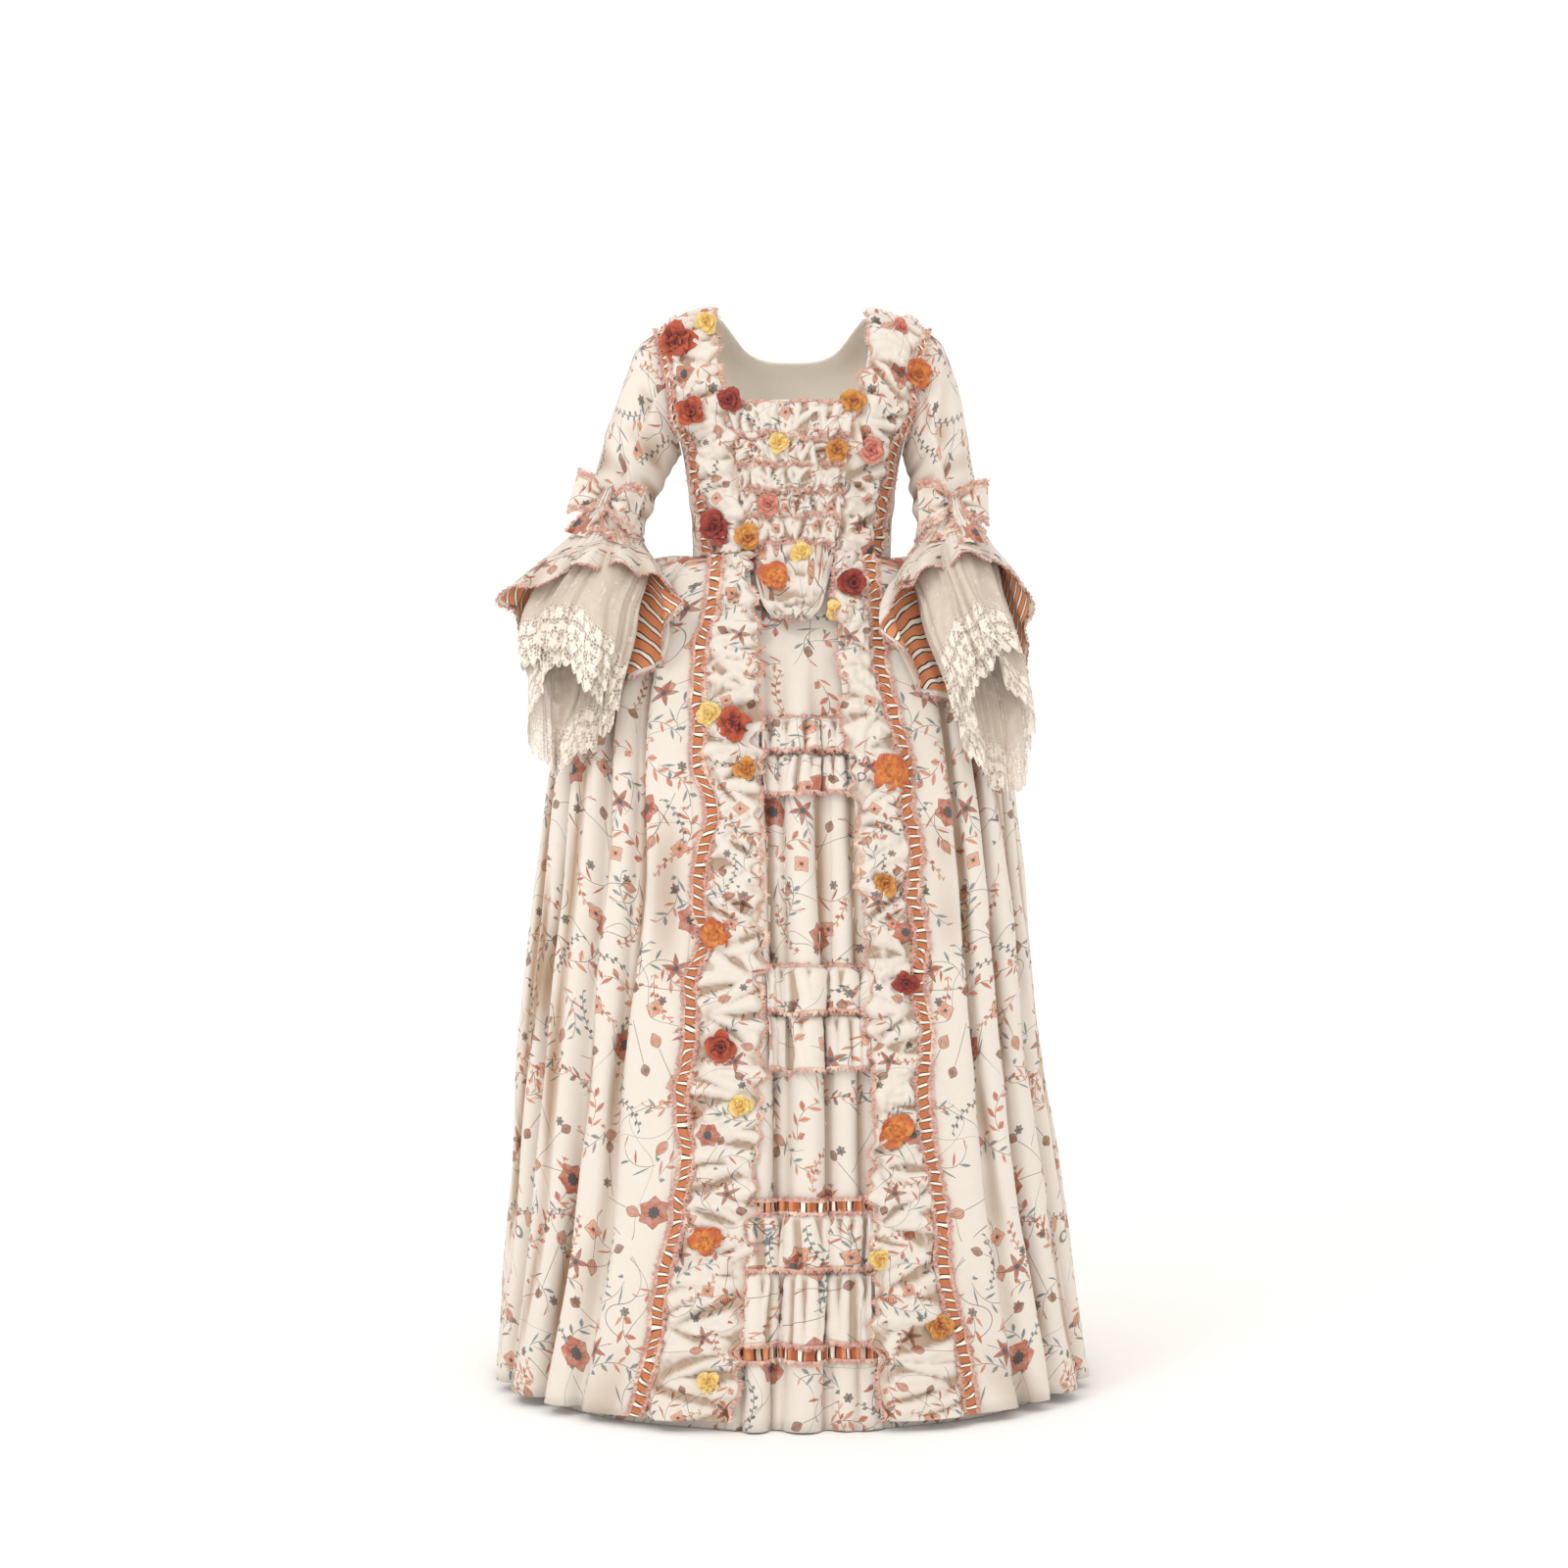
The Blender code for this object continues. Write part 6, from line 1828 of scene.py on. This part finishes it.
def makeTie(word, side, tree, y):
    plan = bows[word]
    tilt = math.radians(plan["tilt"])
    rows = []
    for i, (across, upward, off, half) in enumerate(bows["tie"]):
        x, height = bowSpot(plan, across, upward)
        place = y + (off or 0)
        if off is None:
            gap, limit = bows["behind" if i < 4 else "ahead"]
            seen = [restOn(tree, side, x + k * half, height) for k in (-1, 0, 1)]
            seen = [s for s in seen if s is not None]
            place = min((min(seen) if seen else y + 0.008) - gap, y + limit)
        edge = np.linspace(-1, 1, 5) * half
        rows.append(stack(x + edge * math.cos(tilt), place, height + edge * math.sin(tilt)))
    grid = refine(np.array(rows), *bows["tieFine"])
    outs = normalsOf(grid)
    wide = np.linspace(-1, 1, grid.shape[1])[None, :]
    along = np.linspace(0, 1, grid.shape[0])[:, None]
    pinch = np.exp(-((along - 0.58) / 0.16) ** 2)
    crease = 0.0011 * np.cos(wide * 9 + along * 5) * (0.3 + pinch)
    crease = crease + 0.0016 * np.sin(along * 30) * (1 - pinch) * wide
    grid = grid + outs * crease[..., None]
    # painted shade in the tie's creases
    makeCloth("bow_tie_" + word, grid, "printed", "folded", ["bow_loops_" + word], side, wall=0.0006, flip=True,
              shade=np.clip(-crease / 0.0014, 0, 1))
    for edge, inner in ((0, 2), (-1, -3)):
        addFray("fray_" + word, grid[:, edge], grid[:, edge] - grid[:, inner], -outs[:, edge], side)


for word, side in sides.items():
    tree = worldTree(["sleeve_" + word, "cuff_" + word])
    y = restOn(tree, side, bows[word]["x"], bows[word]["height"]) - bows["standOff"]
    makeLoops(word, side, tree, y)
    makeTie(word, side, tree, y)
print("bows made")


# cloth flowers: each cupped petal is a small grid, and each flower one mesh

petalPlan = {
    "along": 7,
    "across": 6,
    "thickness": 0.0004,
    # how many petals are in each ring, their reach, their width, how far they stand up and their first turn
    "rings": [(4, 1.14, 0.64, 0.36, 0.0), (4, 0.86, 0.50, 0.74, 0.5), (3, 0.42, 0.26, 1.15, 0.2)],
    "ringRise": 0.0007,
    "seat": 0.0012,
    "solidFlowers": 18,
    "slots": {"flame": "flower_rust"},  # the colours that have no slot of their own
}

# x, height, radius, colour and how open it is; the first eighteen are the construction's own
flowers = [
    (-0.147, 1.345, 0.024, "rust", 0.9), (-0.127, 1.250, 0.018, "rust", 0.8), (0.160, 1.303, 0.020, "flame", 0.5),
    (0.076, 1.262, 0.017, "gold", 0.9), (-0.080, 1.262, 0.015, "red", 0.7), (-0.096, 1.104, 0.022, "red", 0.8),
    (0.100, 1.200, 0.017, "rose", 0.8), (0.056, 1.199, 0.016, "gold", 0.9), (0.077, 1.030, 0.019, "red", 0.7),
    (-0.022, 1.037, 0.018, "flame", 0.9), (0.056, 0.995, 0.015, "pale", 0.9), (-0.073, 0.850, 0.022, "rust", 1.0),
    (0.122, 0.792, 0.022, "flame", 0.9), (-0.095, 0.590, 0.019, "flame", 0.9), (-0.086, 0.456, 0.018, "rust", 0.7),
    (0.124, 0.355, 0.020, "flame", 0.9), (-0.106, 0.226, 0.019, "flame", 0.9), (0.176, 0.120, 0.018, "gold", 0.9),
    (-0.110, 1.372, 0.014, "pale", 0.9), (0.138, 1.366, 0.012, "rose", 0.9), (-0.016, 1.209, 0.014, "pale", 0.9),
    (-0.031, 1.132, 0.014, "rose", 0.7), (-0.056, 1.090, 0.016, "gold", 0.8), (0.012, 1.072, 0.014, "pale", 0.9),
    (-0.104, 0.862, 0.016, "pale", 0.9), (-0.057, 0.793, 0.014, "gold", 0.8), (0.112, 0.652, 0.015, "gold", 0.8),
    (-0.062, 0.385, 0.014, "pale", 0.9), (0.104, 0.205, 0.014, "pale", 0.9), (-0.101, 0.060, 0.014, "pale", 0.9),
    (0.138, 0.530, 0.015, "red", 0.7),
]


def seatOf(tree, x, height, radius):
    # where a flower sits on the cloth, and its directions: along the cloth, up it and out from it
    z = height - shoulderHeight
    middle = np.array(frontOf(tree, x, z)[0])
    turns = np.linspace(0, 2 * math.pi, 9)[:-1]
    around = [frontOf(tree, x + radius * 0.6 * math.cos(a), z + radius * 0.6 * math.sin(a))[0] for a in turns]
    out = unit(np.array([x * 1.6, -1.0, 0.0]))
    near = [np.array(p) for p in around if p is not None and abs(p.y - middle[1]) < 0.03] + [middle]
    level = max(float((p - middle) @ out) for p in near)
    along = unit(np.cross([0, 0, 1.0], out))
    return middle + out * (0.5 * level + petalPlan["seat"]), along, np.cross(out, along), out


def petalGrid(picks, ring, k, index, radius, openness, axes):
    count, reach, width, stand, turn = petalPlan["rings"][ring]
    along, up, out = axes
    t = np.linspace(0, 1, petalPlan["along"])[:, None]
    s = np.linspace(-1, 1, petalPlan["across"])[None, :]
    angle = 2 * math.pi * (k + turn + picks.uniform(-0.16, 0.16)) / count + index
    long = radius * reach * picks.uniform(0.76, 1.14)
    wide = radius * width * picks.uniform(0.75, 1.2)
    lifted = stand * (1.5 - openness) + picks.uniform(-0.20, 0.26)
    curl = lifted * t - 0.35 * openness * t**2 + 0.10 * np.sin(s * 3 + 4 * t + k) * t
    high = long * (np.sin(np.clip(lifted, 0, 1.4)) * t - 0.30 * openness * t**2.5)
    high = high + radius * (0.20 * s**2 * np.sin(math.pi * t) + 0.12 * np.sin(s * 4 + 5 * t + 2 * k) * t)
    high = high + petalPlan["ringRise"] * ring
    side = wide * np.maximum(np.sin(t * 2.62 + 0.26), 0) ** 0.75 * s
    ahead = np.cos(angle) * along + np.sin(angle) * up
    aside = -np.sin(angle) * along + np.cos(angle) * up
    grid = (long * t * np.cos(curl))[..., None] * ahead + side[..., None] * aside + high[..., None] * out
    return grid, np.stack(np.broadcast_arrays(s * 0.5 + k + 7 * ring, t), axis=-1)


def makeFlower(index, x, height, radius, colour, openness, tree):
    picks = np.random.default_rng(500 + index)
    seat, *axes = seatOf(tree, x, height, radius)
    rows, columns = petalPlan["along"], petalPlan["across"]
    r, c = np.meshgrid(np.arange(rows - 1), np.arange(columns - 1), indexing="ij")
    corner = (r * columns + c).reshape(-1, 1) + np.array([0, 1, columns + 1, columns])
    points, faces, spots = [], [], []
    for ring, (count, *_) in enumerate(petalPlan["rings"]):
        for k in range(count):
            grid, spot = petalGrid(picks, ring, k, index, radius, openness, axes)
            faces.append(corner + len(points) * rows * columns)
            points.append((seat + grid).reshape(-1, 3))
            spots.append(spot.reshape(-1, 2)[corner])
    name = "flower_" + str(index + 1)
    mesh = bpy.data.meshes.new(name)
    mesh.from_pydata(np.concatenate(points).tolist(), [], np.concatenate(faces).tolist())
    mesh.uv_layers.new(name="cloth").data.foreach_set("uv", np.concatenate(spots).astype(np.float32).ravel())
    mesh.materials.append(finishes[colour])
    mesh.shade_smooth()
    piece = addPiece(name + "_petals", mesh)
    wall = piece.modifiers.new("wall", "SOLIDIFY")
    wall.thickness = petalPlan["thickness"]
    wall.offset = 0
    if index < petalPlan["solidFlowers"]:
        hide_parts(name)


pairs = [name + word for name in ("bodice_front_", "skirt_", "robing_", "ribbon_") for word in sides]
stomacherBands = ["stomacher_band_" + str(i) for i in range(1, len(stomacher["bands"]))]
ground = worldTree([*pairs, "stomacher", "petticoat", *stomacherBands, *bands["heights"], *bands["ribbons"]])
for index, plan in enumerate(flowers):
    makeFlower(index, *plan, ground)
print("flowers made")


# the frayed silk: a thin ruffled base along each edge and single threads standing out from it


def alongLine(values, run, where):
    # the values at distances along a line
    return np.stack([np.interp(where, run, values[:, k]) for k in range(3)], axis=-1)


def frayBase(number, line, outward, lift, run):
    # the ruffled base: three points across it at each step
    where = np.linspace(0, run[-1], max(3, int(run[-1] / fray["step"])))
    base, out, up = (alongLine(values, run, where) for values in (line, outward, lift))
    reach = (fray["base"] * (0.8 + 0.5 * np.sin(where * 900 + number) * np.sin(where * 370)))[:, None]
    wave = fray["frill"] * np.sin(where * 2 * math.pi / fray["frillLength"] + 1.5 * np.sin(where * 210))[:, None]
    inner = base - out * 0.0008 + up * 0.0004
    middle = base + out * reach * 0.5 + up * (0.0012 + wave)
    outer = base + out * reach + up * (0.0010 - 0.6 * wave)
    i = np.arange(len(where) - 1)[:, None] * 3 + np.arange(2)[None, :]
    faces = np.stack([i, i + 1, i + 4, i + 3], axis=-1).reshape(-1, 4)
    spots = np.stack([np.repeat(where, 3), np.tile([0.0, 0.5, 1.0], len(where))], axis=-1)
    return np.stack([inner, middle, outer], axis=1).reshape(-1, 3), faces, spots


def frayStrands(picks, count, line, outward, lift, run):
    # single threads, each a strip of two faces that narrows to its tip
    where = np.sort(picks.uniform(0, run[-1], count))
    base, out, up = (alongLine(values, run, where) for values in (line, outward, lift))
    evenly = np.linspace(0, run[-1], 50)
    along = unit(alongLine(np.gradient(alongLine(line, run, evenly), axis=0), evenly, where))
    lean = picks.normal(0, fray["lean"], (count, 1))
    aim = unit(out + along * lean + up * picks.uniform(0.0, 0.75, (count, 1)))
    long = fray["strandLength"] * picks.uniform(0.45, 1.25, (count, 1))
    broad = along * fray["strandWidth"] * picks.uniform(0.6, 1.3, (count, 1))
    root = base + out * fray["base"] * picks.uniform(0.55, 0.95, (count, 1))
    root = root + up * picks.uniform(0, 0.0022, (count, 1))
    bend = (up * picks.uniform(-0.5, 0.3, (count, 1)) + along * picks.normal(0, 0.3, (count, 1))) * long * 0.5
    middle, tip = root + aim * long * 0.55, root + aim * long + bend
    strands = [root - broad, root + broad, middle + broad * 0.8, middle - broad * 0.8, tip + broad * 0.3,
               tip - broad * 0.3]
    i = np.arange(count)[:, None] * 6
    faces = np.concatenate([i + np.array([[0, 1, 2, 3]]), i + np.array([[3, 2, 4, 5]])])
    return np.stack(strands, axis=1).reshape(-1, 3), faces, np.zeros((count * 6, 2))


def makeFray(name, lines):
    points, faces, spots, start = [], [], [], 0
    for number, (line, outward, lift) in enumerate(lines):
        run = runLength(line)
        parts = [frayBase(number, line, outward, lift, run)]
        count = int(run[-1] * fray["perMetre"])
        if count >= 2:
            picks = np.random.default_rng(900 + number)
            parts.append(frayStrands(picks, count, line, outward, lift, run))
        for partPoints, partFaces, partSpots in parts:
            points.append(partPoints)
            faces.append(partFaces + start)
            spots.append(partSpots)
            start += len(partPoints)
    mesh = bpy.data.meshes.new(name)
    faces, spots = np.concatenate(faces), np.concatenate(spots)
    mesh.from_pydata(np.concatenate(points).tolist(), [], faces.tolist())
    mesh.uv_layers.new(name="cloth").data.foreach_set("uv", spots[faces].astype(np.float32).ravel())
    mesh.materials.append(finishes["fray"])
    mesh.shade_smooth()
    addPiece(name, mesh)


for name, lines in frayLines.items():
    makeFray(name, lines)
print("frayed edges made")


# the floor, the light and the camera

studio = {
    "floor": srgb(254, 254, 254),
    "floorSize": 14.0,
    "world": srgb(255, 251, 246),
    "worldStrength": 1.10,
    "key": {"place": (-2.6, -3.0, 2.4), "size": 1.5, "watts": 52},
    "fill": {"place": (0.8, -3.6, -0.9), "size": 2.4, "watts": 12},
    "aim": (0.0, 0.0, -0.55),
}

camera = {"place": (-0.0103, -3.2, -0.620), "lens": 55.8, "sensor": 36.0}


def makeFloor():
    half = studio["floorSize"] / 2
    mesh = bpy.data.meshes.new("floor")
    corners = [(-half, -half), (half, -half), (half, half), (-half, half)]
    mesh.from_pydata([(x, y, -shoulderHeight - 0.001) for x, y in corners], [], [(0, 1, 2, 3)])
    made = bpy.data.materials.new("floor")
    made.use_nodes = True
    shader = made.node_tree.nodes["Principled BSDF"]
    shader.inputs["Base Color"].default_value = studio["floor"]
    shader.inputs["Roughness"].default_value = 0.9
    shader.inputs["Specular IOR Level"].default_value = 0.1
    mesh.materials.append(made)
    floor = bpy.data.objects.new("floor", mesh)
    bpy.context.scene.collection.objects.link(floor)


def makeLight(name, plan):
    lamp = bpy.data.lights.new(name, "AREA")
    lamp.shape = "DISK"
    lamp.size = plan["size"]
    lamp.energy = plan["watts"]
    holder = bpy.data.objects.new(name, lamp)
    holder.location = plan["place"]
    holder.rotation_euler = (Vector(studio["aim"]) - holder.location).to_track_quat("-Z", "Y").to_euler()
    bpy.context.scene.collection.objects.link(holder)


makeFloor()
makeLight("key", studio["key"])
makeLight("fill", studio["fill"])
world = bpy.data.worlds.new("studio")
world.use_nodes = True
background = world.node_tree.nodes["Background"]
background.inputs["Color"].default_value = studio["world"]
background.inputs["Strength"].default_value = studio["worldStrength"]
bpy.context.scene.world = world

view = bpy.data.cameras.new("photo")
view.lens = camera["lens"]
view.sensor_width = camera["sensor"]
holder = bpy.data.objects.new("photo", view)
holder.location = camera["place"]
holder.rotation_euler = (math.pi / 2, 0, 0)
bpy.context.scene.collection.objects.link(holder)
bpy.context.scene.camera = holder
bpy.context.scene.view_settings.view_transform = "Standard"


print("whole scene made")
